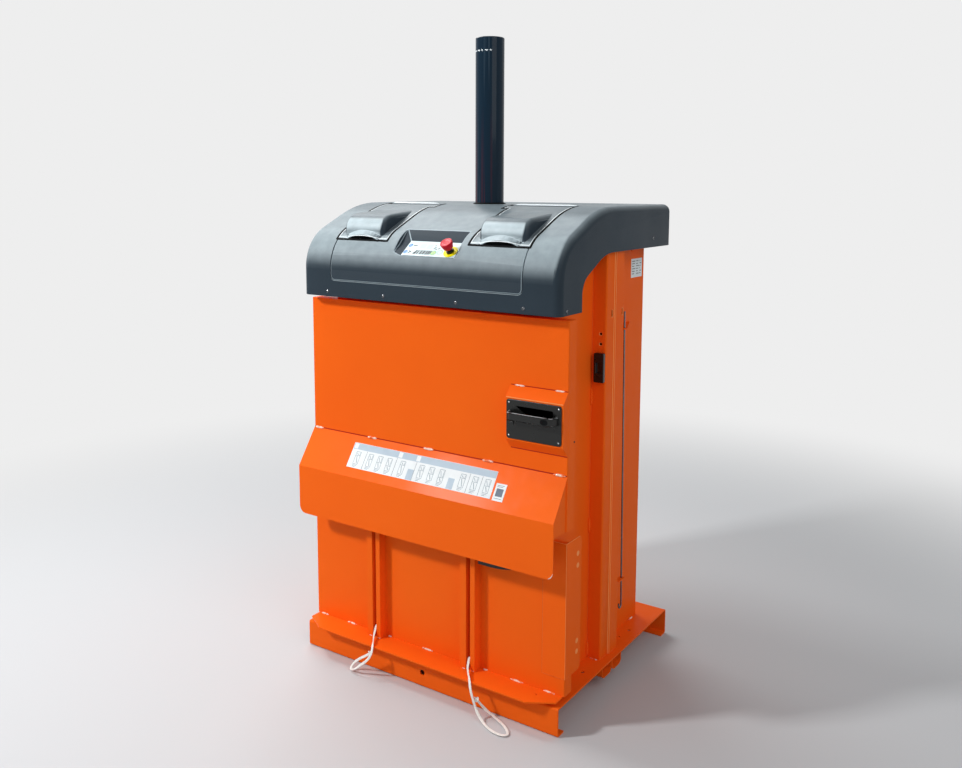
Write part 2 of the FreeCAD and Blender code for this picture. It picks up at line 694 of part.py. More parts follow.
def top_deck():
    """Plate over the chamber that carries the reels and the hydraulic unit."""
    inner_hood = HOOD_HALF - HOOD_WALL
    front = HOOD_FRONT + HOOD_WALL
    top = DECK_Z + DECK_SHEET
    rim = top + DECK_UPSTAND
    corner = HOOD_SIDE_ROUND - HOOD_WALL
    rims = {0: corner, 1: corner}
    nose = profile_z(rectangle(-inner_hood, inner_hood, front, BODY_FRONT), DECK_Z, rim, rims)
    pan = profile_z(rectangle(-inner_hood + DECK_SHEET, inner_hood - DECK_SHEET,
                              front + DECK_SHEET, BODY_FRONT), top, rim,
                    {index: corner - DECK_SHEET for index in rims})
    plate = box(-CHAMBER_HALF, CHAMBER_HALF, BODY_FRONT, BODY_BACK - WALL_SHEET, DECK_Z, top)
    bore = rod(ROD_RADIUS + DECK_BORE_EXTRA, V(0, CYLINDER_Y, DECK_Z - 1), V(0, CYLINDER_Y, top + 1))
    return joined([nose.cut(pan), plate]).cut(bore)


def side_column():
    """Right column: a folded hat section up the wall, in two steps."""
    x0 = WALL_OUT
    x1 = x0 + COLUMN_REACH
    x2 = x1 + COLUMN_STEP_OUT
    t = COLUMN_SHEET
    section = [
        (x0, COLUMN_FRONT), (x1, COLUMN_FRONT), (x1, COLUMN_STEP),
        (x2, COLUMN_STEP + COLUMN_STEP_OUT), (x2, COLUMN_BACK), (x0, COLUMN_BACK),
        (x0, COLUMN_BACK - t), (x2 - t, COLUMN_BACK - t), (x2 - t, COLUMN_STEP + COLUMN_STEP_OUT + t / 2),
        (x1 - t, COLUMN_STEP + t / 2), (x1 - t, COLUMN_FRONT + t), (x0, COLUMN_FRONT + t),
    ]
    column = profile_z(section, BASE_HEIGHT, WALL_TOP, {1: t + 1, 10: 1})
    cuts = [rod(CATCH_HOLE_RADIUS, V(CATCH_X, COLUMN_FRONT - 1, z), V(CATCH_X, COLUMN_FRONT + t + 1, z))
            for z in CATCH_HOLE_ZS]
    slot_half = COLUMN_SLOT_HEIGHT / 2
    for y in (COLUMN_STEP - COLUMN_SLOT_WIDTH - t, COLUMN_BACK - COLUMN_SLOT_WIDTH / 2 - t):
        cuts.append(profile_x(rectangle(y - COLUMN_SLOT_WIDTH / 2, y + COLUMN_SLOT_WIDTH / 2,
                                        COLUMN_SLOT_Z - slot_half, COLUMN_SLOT_Z + slot_half),
                              x1 - t - 1, x2 + 1))
    return column.cut(cuts)


def strap_catch():
    """Moulded guide on the right column's shoulder that parks the strap's end."""
    x0 = CATCH_X - CATCH_WIDTH / 2
    x1 = CATCH_X + CATCH_WIDTH / 2
    y0 = COLUMN_FRONT - CATCH_DEPTH
    body = profile_y(rectangle(x0, x1, CATCH_Z0, CATCH_Z1), y0, COLUMN_FRONT,
                     {index: CATCH_HOLE_RADIUS for index in range(4)})
    third = (CATCH_Z1 - CATCH_Z0) / 3
    groove = box(x0 + CATCH_WIDTH / 4, x1 - CATCH_WIDTH / 4, y0 - 1, y0 + CATCH_DEPTH / 2,
                 CATCH_Z0 + third, CATCH_Z1 - third)
    return body.cut(groove)


# --------------------------------------------------------------- door hinges
def hinge_brackets(knuckle_zs):
    """Two ears on the right wall with a pin through them, at each knuckle."""
    brackets = []
    for z in knuckle_zs:
        low = z - EAR_GAP - EAR_LENGTH
        high = z + KNUCKLE_LENGTH + EAR_GAP
        pieces = [rod(PIN_RADIUS, V(HINGE_X, HINGE_Y, low), V(HINGE_X, HINGE_Y, high + EAR_LENGTH))]
        for ear_z in (low, high):
            pieces.append(box(WALL_OUT, HINGE_X, HINGE_Y - KNUCKLE_RADIUS, HINGE_Y + KNUCKLE_RADIUS,
                              ear_z, ear_z + EAR_LENGTH))
            pieces.append(rod(KNUCKLE_RADIUS, V(HINGE_X, HINGE_Y, ear_z),
                              V(HINGE_X, HINGE_Y, ear_z + EAR_LENGTH)))
        brackets.append(joined(pieces))
    return Part.makeCompound(brackets)


def knuckle(z):
    """The moving barrel round a hinge pin."""
    return ring(KNUCKLE_RADIUS, PIN_RADIUS + PIN_CLEARANCE, V(HINGE_X, HINGE_Y, z),
                V(HINGE_X, HINGE_Y, z + KNUCKLE_LENGTH))


def knuckle_bore(z):
    """The space that a knuckle's web leaves for the pin."""
    return rod(PIN_RADIUS + PIN_CLEARANCE, V(HINGE_X, HINGE_Y, z), V(HINGE_X, HINGE_Y, z + KNUCKLE_LENGTH))


def upper_hinge_leaves():
    """Leaves on the back of the upper door's left edge."""
    leaves = []
    for z in UPPER_KNUCKLE_ZS:
        z1 = z + KNUCKLE_LENGTH
        leaf = box(LEAF_INNER_X, DOOR_HALF - DOOR_SHEET, DOOR_BACK, DOOR_BACK + LEAF_SHEET, z, z1)
        half = KNUCKLE_RADIUS - LEAF_SHEET
        web = box(HINGE_X - half, HINGE_X + half, DOOR_BACK, HINGE_Y, z, z1)
        leaves.append(joined([leaf, web.cut(knuckle_bore(z)), knuckle(z)]))
    return mirrored(Part.makeCompound(leaves))


def lower_hinge_blocks():
    """Blocks that are screwed to the inside of the wrap plate."""
    blocks = []
    for z in LOWER_KNUCKLE_ZS:
        web = box(HINGE_X, DOOR_HALF, HINGE_Y - KNUCKLE_RADIUS, HINGE_Y + KNUCKLE_RADIUS,
                  z, z + KNUCKLE_LENGTH)
        blocks.append(joined([web.cut(knuckle_bore(z)), knuckle(z)]))
    return Part.makeCompound(blocks)


def door_keepers():
    """Wall blocks whose magnets hold the doors shut, just off the doors' backs."""
    y0 = DOOR_BACK + DOOR_REST_GAP
    x1 = WALL_OUT + KEEPER_WIDTH
    keeper = [(WALL_OUT, y0), (x1, y0), (x1, BODY_FRONT + WALL_SHEET),
              (WALL_OUT + WALL_SHEET, BODY_FRONT + KEEPER_DEPTH), (WALL_OUT, BODY_FRONT + KEEPER_DEPTH)]
    upper = profile_z(keeper, KEEPER_UPPER_Z, KEEPER_UPPER_Z + KEEPER_HEIGHT)
    lower = profile_z(keeper, KEEPER_LOWER_Z, KEEPER_LOWER_Z + KEEPER_HEIGHT)
    return Part.makeCompound([upper, mirrored(lower)])


# ----------------------------------------------------------------- upper door
def door_tray(z0, z1):
    """A door skin: a sheet with all four edges folded back."""
    whole = box(-DOOR_HALF, DOOR_HALF, DOOR_FACE, DOOR_BACK, z0, z1)
    whole = softened(whole, DOOR_BEND,
                     lambda edge: runs_along(edge, 2) and edge.CenterOfMass.y < DOOR_FACE + 1)
    hollow = box(-DOOR_HALF + DOOR_SHEET, DOOR_HALF - DOOR_SHEET, DOOR_FACE + DOOR_SHEET,
                 DOOR_BACK, z0 + DOOR_SHEET, z1 - DOOR_SHEET)
    return whole.cut(hollow)


def door_liner(z0, z1):
    """The flat sheet that closes the back of a door."""
    return box(-DOOR_HALF + DOOR_SHEET, DOOR_HALF - DOOR_SHEET, DOOR_BACK - DOOR_SHEET,
               DOOR_BACK, z0 + DOOR_SHEET, z1 - DOOR_SHEET)


def deflector():
    """Welded chute lip across the upper door: slope, skirt and two cheeks."""
    t = DEFLECTOR_SHEET
    run = DOOR_FACE - DEFLECTOR_FACE
    drop = DEFLECTOR_TOP - DEFLECTOR_BEND_Z
    slant = t * math.hypot(run, drop) / run
    inner_bend = DEFLECTOR_BEND_Z + t * drop / run - slant
    sheet = profile_x([
        (DOOR_FACE, DEFLECTOR_TOP), (DEFLECTOR_FACE, DEFLECTOR_BEND_Z),
        (DEFLECTOR_FACE, DEFLECTOR_BOTTOM), (DEFLECTOR_FACE + t, DEFLECTOR_BOTTOM),
        (DEFLECTOR_FACE + t, inner_bend), (DOOR_FACE, DEFLECTOR_TOP - slant),
    ], -DEFLECTOR_HALF, DEFLECTOR_HALF)
    sheet = softened(sheet, DEFLECTOR_ROUND, lambda edge: runs_along(edge, 1)
                     and abs(edge.CenterOfMass.z - DEFLECTOR_BOTTOM) < 1)
    x1 = DEFLECTOR_HALF - CHEEK_INSET
    cheek = profile_x([
        (DOOR_FACE, DEFLECTOR_TOP - slant / 2), (DEFLECTOR_FACE + t / 2, inner_bend),
        (DEFLECTOR_FACE + t / 2, UPPER_BOTTOM), (DOOR_FACE, UPPER_BOTTOM),
    ], x1 - CHEEK_SHEET, x1)
    return joined([sheet, cheek, mirrored(cheek)])


def slope_point(x, along, lift):
    """A point on the deflector's slope, measured down from its top edge."""
    run = DOOR_FACE - DEFLECTOR_FACE
    drop = DEFLECTOR_TOP - DEFLECTOR_BEND_Z
    length = math.hypot(run, drop)
    down = V(0, -run / length, -drop / length)
    outward = V(0, -drop / length, run / length)
    return V(x, DOOR_FACE, DEFLECTOR_TOP) + down * along + outward * lift


def slope_plate(x0, x1, start, end):
    """A thin plate that lies on the slope."""
    corners = [slope_point(x0, start, 0), slope_point(x1, start, 0),
               slope_point(x1, end, 0), slope_point(x0, end, 0)]
    thickness = slope_point(0, 0, LABEL_SHEET) - slope_point(0, 0, 0)
    return Part.Face(outline(corners)).extrude(thickness)


def instruction_label():
    """Long pictogram field on the slope."""
    return slope_plate(LABEL_X0, LABEL_X1, LABEL_FROM, LABEL_TO)


def small_label():
    """Small square field beside it."""
    return slope_plate(SMALL_LABEL_X0, SMALL_LABEL_X1, SMALL_LABEL_FROM, SMALL_LABEL_TO)


def pull_pocket(inset, y0, y1):
    """The pocket behind the pull plate, as a block."""
    side = PULL_SIDE + inset
    low = PULL_Z1 - PULL_LOW + inset
    high = PULL_Z1 - PULL_BORDER - inset
    corner = PULL_CORNER - inset
    return profile_y(rectangle(PULL_X0 + side, PULL_X1 - side, low, high), y0, y1,
                     {index: corner for index in range(4)})


def handle_box():
    """Raised housing of the pull: a welded box with sloped top and bottom."""
    t = HANDLE_SHEET

    def section(inset):
        slope = inset / 2
        return [
            (DOOR_FACE, HANDLE_Z0 + inset), (HANDLE_FACE + inset, HANDLE_Z0 + HANDLE_SLOPE + slope),
            (HANDLE_FACE + inset, HANDLE_Z1 - HANDLE_SLOPE - slope), (DOOR_FACE, HANDLE_Z1 - inset),
        ]
    outer = profile_x(section(0), HANDLE_X0, DOOR_HALF, {1: t, 2: t})
    inner = profile_x(section(t), HANDLE_X0 + t, DOOR_HALF - t)
    return outer.cut([inner, pull_pocket(0, HANDLE_FACE - 1, HANDLE_FACE + t + 1)])


def pull_plate():
    """Moulded pull: a flat plate with a finger pocket and a bow grip across its mouth."""
    face = HANDLE_FACE - PULL_PLATE
    corners = {index: PULL_CORNER for index in range(4)}
    rim = profile_y(rectangle(PULL_X0, PULL_X1, PULL_Z0, PULL_Z1), face, HANDLE_FACE, corners)
    cup = pull_pocket(0, HANDLE_FACE, face + PULL_DEPTH + PULL_WALL)
    hollow = pull_pocket(PULL_WALL, face - 1, face + PULL_DEPTH)
    grip = grip_block(0).cut(grip_block(GRIP_WALL))
    front_edges = [edge for edge in grip.Edges if edge.CenterOfMass.y < face - GRIP_REACH + 0.1
                   and runs_along(edge, 0)]
    grip = grip.makeFillet(GRIP_EDGE, front_edges)
    return joined([joined([rim, cup]).cut(hollow), grip])


def grip_block(inset):
    """The bow grip's plan, drawn in by an inset: slanted arms and rounded corners."""
    face = HANDLE_FACE - PULL_PLATE
    front = face - GRIP_REACH + inset
    side = GRIP_MARGIN + inset
    z1 = PULL_Z1 - GRIP_DROP
    plan = [(PULL_X0 + side, face), (PULL_X0 + side + GRIP_SLANT, front),
            (PULL_X1 - side - GRIP_SLANT, front), (PULL_X1 - side, face)]
    corner = GRIP_ROUND - inset
    return profile_z(plan, z1 - GRIP_HEIGHT, z1, {1: corner, 2: corner})


# ----------------------------------------------------------------- lower door
def strap_slots():
    """Cuts through the lower door for the inner walls of the strap channels."""
    half = CHANNEL_GAP / 2 + DOOR_SHEET
    return [box(x - half, x + half, DOOR_FACE - 1, DOOR_BACK + 1, SHELF_TOP + SLOT_SILL,
                LOWER_TOP - SLOT_HEAD) for x in STRAP_XS]


def lower_door_skin():
    """Bale door: folded sheet, slotted for the straps."""
    return door_tray(SHELF_TOP, LOWER_TOP).cut(strap_slots())


def lower_door_liner():
    """Back sheet of the bale door, slotted for the straps."""
    return door_liner(SHELF_TOP, LOWER_TOP).cut(strap_slots())


def strap_channel(x):
    """Two folded strips that stand proud of the door, with the strap's slot between."""
    t = DOOR_SHEET
    half = CHANNEL_GAP / 2
    strips = []
    for side, width in ((-1, CHANNEL_LEFT_STRIP), (1, CHANNEL_RIGHT_STRIP)):
        near = x + side * half
        far = near + side * width
        fold = [
            (near, CHANNEL_FACE), (far, CHANNEL_FACE), (far, DOOR_FACE), (far - side * t, DOOR_FACE),
            (far - side * t, CHANNEL_FACE + t), (near + side * t, CHANNEL_FACE + t),
            (near + side * t, DOOR_FACE), (near, DOOR_FACE),
        ]
        wall = rectangle(min(near, near + side * t), max(near, near + side * t), DOOR_FACE, DOOR_BACK)
        strips.append(joined([profile_z(fold, SHELF_TOP, LOWER_TOP),
                              profile_z(wall, SHELF_TOP + SLOT_SILL, LOWER_TOP - SLOT_HEAD)]))
    return Part.makeCompound(strips)


def lower_shelf():
    """Shelf along the bale door's foot, its front corners cut off."""
    x1 = DOOR_HALF - SHELF_SIDE_GAP
    y1 = DOOR_FACE + DOOR_SHEET
    y_cut = SHELF_FRONT + SHELF_CHAMFER_Y
    x_cut = x1 - SHELF_CHAMFER_X
    points = [(-x1, y1), (-x1, y_cut), (-x_cut, SHELF_FRONT), (x_cut, SHELF_FRONT), (x1, y_cut), (x1, y1)]
    plate = profile_z(points, SHELF_TOP - SHELF_SHEET, SHELF_TOP)
    return plate.cut(rod(SHELF_HOLE_RADIUS, V(SHELF_HOLE_X, SHELF_HOLE_Y, 0),
                         V(SHELF_HOLE_X, SHELF_HOLE_Y, SHELF_TOP + 1)))


def wrap_plate():
    """Angle plate round the bale door's right edge that carries its hinge blocks."""
    x1 = DOOR_HALF + WRAP_SHEET
    y0 = DOOR_FACE - WRAP_SHEET
    front = box(x1 - WRAP_FRONT_LEG, x1, y0, DOOR_FACE, WRAP_Z0, WRAP_Z1)
    side = profile_x(rectangle(y0, y0 + WRAP_SIDE_LEG, WRAP_Z0, WRAP_Z1), DOOR_HALF, x1,
                     {1: WRAP_ROUND, 2: WRAP_ROUND})
    return softened(joined([front, side]), WRAP_SHEET / 2, lambda edge: runs_along(edge, 2)
                    and edge.CenterOfMass.y < y0 + 0.1 and edge.CenterOfMass.x > DOOR_HALF)


def lower_pull():
    """Cup pull under the skirt, in the bale door's right bay, open below."""
    wall = LOWER_PULL_WALL
    front = DOOR_FACE - LOWER_PULL_DEPTH
    cup = profile_x(rectangle(front, DOOR_FACE, LOWER_PULL_Z0, LOWER_TOP),
                    LOWER_PULL_X0, LOWER_PULL_X1, {3: LOWER_PULL_ROUND})
    hollow = box(LOWER_PULL_X0 + wall, LOWER_PULL_X1 - wall, front + wall, DOOR_FACE - wall,
                 LOWER_PULL_Z0 - 1, LOWER_TOP - wall)
    return cup.cut(hollow)


# ------------------------------------------------------------ cylinder, press
def crosshead():
    """Channel between the walls that the cylinder pushes against."""
    y0 = CYLINDER_Y - CROSSHEAD_DEPTH / 2
    y1 = CYLINDER_Y + CROSSHEAD_DEPTH / 2
    top = CROSSHEAD_Z + CROSSHEAD_HEIGHT
    inner = rectangle(y0 + CROSSHEAD_WEB, y1 - CROSSHEAD_WEB, FLANGE_Z, top)
    channel = profile_x(rectangle(y0, y1, CROSSHEAD_Z, top), -CHAMBER_HALF, CHAMBER_HALF)
    channel = channel.cut(profile_x(inner, -CHAMBER_HALF, CHAMBER_HALF))
    below = V(0, 0, CROSSHEAD_Z - 1)
    above = V(0, 0, FLANGE_Z + 1)
    cuts = [rod(ROD_RADIUS + DECK_BORE_EXTRA, V(0, CYLINDER_Y, 0) + below, V(0, CYLINDER_Y, 0) + above)]
    cuts += [rod(BOLT_RADIUS, place + below, place + above) for place in flange_bolt_places()]
    return channel.cut(cuts)


def flange_bolt_places():
    """Where the cylinder's four bolts stand."""
    return [V(x, CYLINDER_Y + y, 0) for x in (-FLANGE_BOLT_X, FLANGE_BOLT_X)
            for y in (-FLANGE_BOLT_Y, FLANGE_BOLT_Y)]


def cylinder_flange():
    """Square foot of the cylinder with the rod's gland bore."""
    plate = box(-FLANGE_HALF_X, FLANGE_HALF_X, CYLINDER_Y - FLANGE_HALF_Y, CYLINDER_Y + FLANGE_HALF_Y,
                FLANGE_Z, BARREL_Z)
    cuts = [rod(ROD_RADIUS + ROD_CLEARANCE, V(0, CYLINDER_Y, FLANGE_Z - 1), V(0, CYLINDER_Y, BARREL_Z + 1))]
    cuts += [rod(BOLT_RADIUS, place + V(0, 0, FLANGE_Z - 1), place + V(0, 0, BARREL_Z + 1))
             for place in flange_bolt_places()]
    return plate.cut(cuts)


def hexagon(radius, centre, z0, z1):
    """A hexagonal head or nut."""
    points = [(centre.x + radius * math.cos(math.radians(a)), centre.y + radius * math.sin(math.radians(a)))
              for a in range(0, 360, 60)]
    return profile_z(points, z0, z1)


def cylinder_bolts():
    """Bolts, with nuts under the crosshead."""
    bolts = []
    for place in flange_bolt_places():
        shank = rod(BOLT_RADIUS, place + V(0, 0, CROSSHEAD_Z - BOLT_HEAD), place + V(0, 0, BARREL_Z))
        head = hexagon(BOLT_HEAD_RADIUS, place, BARREL_Z, BARREL_Z + BOLT_HEAD)
        nut = hexagon(BOLT_HEAD_RADIUS, place, CROSSHEAD_Z - BOLT_HEAD, CROSSHEAD_Z)
        bolts.append(joined([shank, head, nut]))
    return Part.makeCompound(bolts)


def cylinder_barrel():
    """Tall barrel that stands out of the hood, closed by a welded end with a chamfered rim."""
    under_cap = CYLINDER_TOP - CYLINDER_CAP
    shoulder = CYLINDER_TOP - CYLINDER_CAP_CHAMFER
    points = [
        (CYLINDER_BORE, BARREL_Z), (CYLINDER_RADIUS, BARREL_Z), (CYLINDER_RADIUS, shoulder),
        (CYLINDER_RADIUS - CYLINDER_CAP_CHAMFER, CYLINDER_TOP), (0, CYLINDER_TOP), (0, under_cap),
        (CYLINDER_BORE, under_cap),
    ]
    half_section = Part.Face(outline([V(radius, CYLINDER_Y, z) for radius, z in points]))
    return half_section.revolve(V(0, CYLINDER_Y, 0), V(0, 0, 1), 360)


def piston_rod():
    """Chromed rod with the piston at its upper end."""
    top = PLATEN_TOP + ROD_LENGTH
    shaft = rod(ROD_RADIUS, V(0, CYLINDER_Y, PLATEN_TOP), V(0, CYLINDER_Y, top))
    piston = rod(CYLINDER_BORE - ROD_CLEARANCE, V(0, CYLINDER_Y, top),
                 V(0, CYLINDER_Y, top + PISTON_THICKNESS))
    return joined([shaft, piston])


def platen():
    """Press plate with stiffening ribs and a hub under the rod."""
    half = CHAMBER_HALF - PLATEN_SIDE_GAP
    y1 = BODY_BACK - WALL_SHEET - PLATEN_BACK_GAP
    rib_z = PLATEN_Z + PLATEN_SHEET
    pieces = [box(-half, half, PLATEN_FRONT, y1, PLATEN_Z, rib_z)]
    for y in PLATEN_RIB_YS:
        pieces.append(box(-half, half, y, y + PLATEN_SHEET, rib_z, rib_z + PLATEN_RIB))
    for x in PLATEN_CROSS_XS:
        pieces.append(profile_x([(PLATEN_FRONT, rib_z), (y1, rib_z), (y1, rib_z + PLATEN_RIB / 3),
                                 (PLATEN_RIB_YS[1] + PLATEN_SHEET, rib_z + PLATEN_RIB),
                                 (PLATEN_RIB_YS[0], rib_z + PLATEN_RIB),
                                 (PLATEN_FRONT, rib_z + PLATEN_RIB / 3)], x, x + PLATEN_SHEET))
    pieces.append(rod(PLATEN_HUB_RADIUS, V(0, CYLINDER_Y, rib_z), V(0, CYLINDER_Y, PLATEN_TOP)))
    return joined(pieces)


def platen_pads():
    """Wear bars under the platen, grooved for the straps."""
    y1 = BODY_BACK - WALL_SHEET - PLATEN_BACK_GAP
    return Part.makeCompound([
        box(x0, x1, PLATEN_FRONT, y1, PLATEN_Z - PLATEN_PAD, PLATEN_Z)
        for x0, x1 in strap_spans(CHAMBER_HALF - PLATEN_SIDE_GAP)])


# ----------------------------------------------------------------------- hood
def hood_block(inset):
    """The hood as a solid, drawn in by an inset: straight nose, slope and flat roof."""
    front = HOOD_FRONT + inset
    back = HOOD_BACK - inset
    half = HOOD_HALF - inset
    nose = HOOD_NOSE_RADIUS - inset
    brow = HOOD_BROW_RADIUS - inset
    corner = HOOD_BACK_RADIUS - inset
    foot = HOOD_BOTTOM - HOOD_NOSE_RADIUS

    def at(y, z):
        return V(-half, y, z)

    def on_arc(y, z, radius, angle):
        return at(y - radius * math.sin(angle), z + radius * math.cos(angle))

    quarter = math.pi / 2
    nose_start = on_arc(HOOD_NOSE_Y, HOOD_NOSE_Z, nose, quarter)
    nose_middle = on_arc(HOOD_NOSE_Y, HOOD_NOSE_Z, nose, (quarter + HOOD_SLOPE) / 2)
    nose_end = on_arc(HOOD_NOSE_Y, HOOD_NOSE_Z, nose, HOOD_SLOPE)
    brow_start = on_arc(HOOD_BROW_Y, HOOD_BROW_Z, brow, HOOD_SLOPE)
    brow_middle = on_arc(HOOD_BROW_Y, HOOD_BROW_Z, brow, HOOD_SLOPE / 2)
    brow_end = on_arc(HOOD_BROW_Y, HOOD_BROW_Z, brow, 0)
    centre_y = HOOD_BACK - HOOD_BACK_RADIUS
    centre_z = HOOD_TOP - HOOD_BACK_RADIUS
    back_start = on_arc(centre_y, centre_z, corner, 0)
    back_middle = on_arc(centre_y, centre_z, corner, -quarter / 2)
    back_end = on_arc(centre_y, centre_z, corner, -quarter)
    edges = [
        Part.makeLine(at(front, foot), nose_start), Part.Arc(nose_start, nose_middle, nose_end).toShape(),
        Part.makeLine(nose_end, brow_start), Part.Arc(brow_start, brow_middle, brow_end).toShape(),
        Part.makeLine(brow_end, back_start), Part.Arc(back_start, back_middle, back_end).toShape(),
        Part.makeLine(back_end, at(back, foot)), Part.makeLine(at(back, foot), at(front, foot)),
    ]
    block = Part.Face(Part.Wire(edges)).extrude(V(2 * half, 0, 0))
    rims = [edge for edge in block.Edges
            if abs(abs(edge.CenterOfMass.x) - half) < 0.01 and edge.CenterOfMass.z > foot + 1]
    return block.makeFillet(HOOD_SIDE_ROUND - inset, rims)


def hood_underside():
    """The space below the hood: under its front legs and its side arches."""
    low = HOOD_BOTTOM - FAR
    points = [(HOOD_LEG_BACK, low), (HOOD_LEG_BACK, HOOD_ARCH_Z), (HOOD_ARCH_BACK_Y, HOOD_UNDERSIDE),
              (FAR, HOOD_UNDERSIDE), (FAR, low)]
    arch = profile_x(points, -FAR, FAR, {1: HOOD_ARCH_ROUNDS[0], 2: HOOD_ARCH_ROUNDS[1]})
    return [arch, box(-FAR, FAR, -FAR, FAR, low, HOOD_BOTTOM)]


def hood_skin(outer, inner):
    """A layer of the hood between two insets, open below."""
    return hood_block(outer).cut([hood_block(inner)] + hood_underside())


def console_zone(grow):
    """The region that the console cover fills: front panel and spine between the lids."""
    panel = profile_y(rectangle(-CONSOLE_HALF - grow, CONSOLE_HALF + grow, CONSOLE_BOTTOM - grow, FAR),
                      -FAR, CONSOLE_TOP_BACK + grow, {0: CONSOLE_CORNER + grow, 1: CONSOLE_CORNER + grow})
    spine = box(-SPINE_HALF - grow, SPINE_HALF + grow, 0, SPINE_NECK_Y - SEAM + grow, HOOD_NOSE_Z, FAR)
    neck = box(-SPINE_NECK - grow, SPINE_NECK + grow, 0, ROOF_START - SEAM + grow, HOOD_NOSE_Z, FAR)
    return joined([panel, spine, neck])


def lid_zone(grow, back=LID_BACK):
    """The region of the right lid, seen from above, with its rear tab towards the middle."""
    main = box(LID_INNER_X - grow, LID_OUTER_X + grow, LID_FRONT - grow, back + grow, HOOD_NOSE_Z, FAR)
    tab = box(SPINE_NECK + SEAM - grow, LID_OUTER_X, SPINE_NECK_Y - grow, back + grow, HOOD_NOSE_Z, FAR)
    return joined([main, tab])


def roof_zone(grow):
    """The region of the rear roof cover."""
    return box(-LID_OUTER_X - grow, LID_OUTER_X + grow, ROOF_START - grow, ROOF_BACK + grow,
               HOOD_UNDERSIDE, FAR)


def tube_hole(z0, z1):
    """The clearance round the cylinder."""
    return rod(CYLINDER_RADIUS + TUBE_CLEARANCE, V(0, CYLINDER_Y, z0), V(0, CYLINDER_Y, z1))


def under_lip(outside, inside):
    """A ledge just below the skin, between two regions."""
    layer = hood_skin(HOOD_WALL + LIP_CLEARANCE, HOOD_WALL + LIP_CLEARANCE + LIP_SHEET)
    return layer.common(outside).cut(inside)


def hood_shell():
    """Moulded hood with openings for the console cover, the lids and the roof cover."""
    lids = lid_zone(SEAM, ROOF_START - SEAM - SEAM)
    windows = [console_zone(SEAM), lids, mirrored(lids), roof_zone(SEAM)]
    skin = hood_skin(0, HOOD_WALL).cut(windows)
    behind = box(-FAR, FAR, CONSOLE_TOP_BACK, FAR, HOOD_NOSE_Z, FAR)
    ahead = box(-FAR, FAR, -FAR, ROOF_START + LIP_WIDTH, 0, FAR)
    spacer = hood_skin(HOOD_WALL, HOOD_WALL + LIP_CLEARANCE)
    ledges = [
        under_lip(console_zone(LIP_WIDTH), console_zone(-LIP_WIDTH)).cut(behind),
        spacer.common(console_zone(LIP_WIDTH)).cut([console_zone(SEAM), behind]),
        under_lip(roof_zone(LIP_WIDTH), roof_zone(-LIP_WIDTH)).cut(ahead),
        spacer.common(roof_zone(LIP_WIDTH)).cut([roof_zone(SEAM), ahead]),
    ]
    return joined([skin] + ledges)


def roof_cover():
    """Flat rear cover of the roof, round the cylinder."""
    cover = hood_skin(0, HOOD_WALL).common(roof_zone(0))
    return cover.cut(tube_hole(HOOD_UNDERSIDE, HOOD_TOP + 1))


def panel_frame():
    """Directions of the sloped control panel: along it and out of it."""
    along = V(0, PANEL_DEPTH, PANEL_LIFT).normalize()
    outward = V(0, -along.z, along.y)
    return along, outward


def recess_block(grow):
    """The space over the control panel, flared to its mouth on the hood."""
    along, outward = panel_frame()
    front = V(0, PANEL_Y0, PANEL_Z0) - outward * grow
    back = front + along * (math.hypot(PANEL_DEPTH, PANEL_LIFT) + grow)
    left = V(PANEL_X0 - grow, 0, 0)
    right = V(PANEL_X1 + grow, 0, 0)
    floor = [left + front, right + front, right + back, left + back]
    flare_left = V(-RECESS_LEFT, 0, 0)
    flare_right = V(RECESS_RIGHT, 0, 0)
    rise_front = outward * RECESS_FRONT_LIFT
    rise_back = V(0, RECESS_BACK, RECESS_BACK_LIFT)
    flares = [flare_left + rise_front, flare_right + rise_front,
              flare_right + rise_back, flare_left + rise_back]
    mouth = [corner + flare * RECESS_PAST for corner, flare in zip(floor, flares)]
    between = box(PANEL_X0 - RECESS_LEFT - grow, PANEL_X1 + RECESS_RIGHT + grow, -FAR, FAR, 0, FAR)
    return wedge(floor, mouth).common(between)


def wedge(floor, mouth):
    """A solid between two four-sided faces, its sides folded along one diagonal."""
    faces = [Part.Face(outline(floor)), Part.Face(outline(mouth))]
    for index in range(4):
        after = (index + 1) % 4
        faces.append(Part.Face(outline([floor[index], floor[after], mouth[after]])))
        faces.append(Part.Face(outline([floor[index], mouth[after], mouth[index]])))
    return Part.Solid(Part.Shell(faces))


def console_cover():
    """Console cover: front panel, spine and the recess for the controls."""
    skin = hood_skin(0, HOOD_WALL).common(console_zone(0))
    tray = recess_block(TRAY_SHEET).common(hood_block(0))
    shell = joined([skin, tray]).cut([recess_block(0), tube_hole(HOOD_UNDERSIDE, FAR)])
    reach = SEAM + LIP_WIDTH
    sides = box(-SPINE_HALF - reach, SPINE_HALF + reach, LID_FRONT, LID_BACK, HOOD_NOSE_Z, FAR)
    ledge = under_lip(console_zone(reach), console_zone(-reach)).common(sides)
    bridge = hood_skin(HOOD_WALL, HOOD_WALL + LIP_CLEARANCE).common(sides)
    bridge = bridge.common(console_zone(0)).cut(console_zone(-reach))
    return joined([shell, bridge, ledge])


def lid():
    """Right reel lid: its share of the skin, a blunt dome over the reel and an arch for fingers."""
    inside = hood_block(HOOD_WALL)
    skin = hood_skin(0, HOOD_WALL).common(lid_zone(0))
    bump = lid_dome(0).cut(inside)
    arch = finger_arch(0).common(lid_zone(0)).cut(inside)
    body = joined([skin, bump, arch]).cut([lid_dome(LID_DOME_WALL), finger_arch(LID_DOME_WALL)])
    return joined([body] + lid_knuckles())


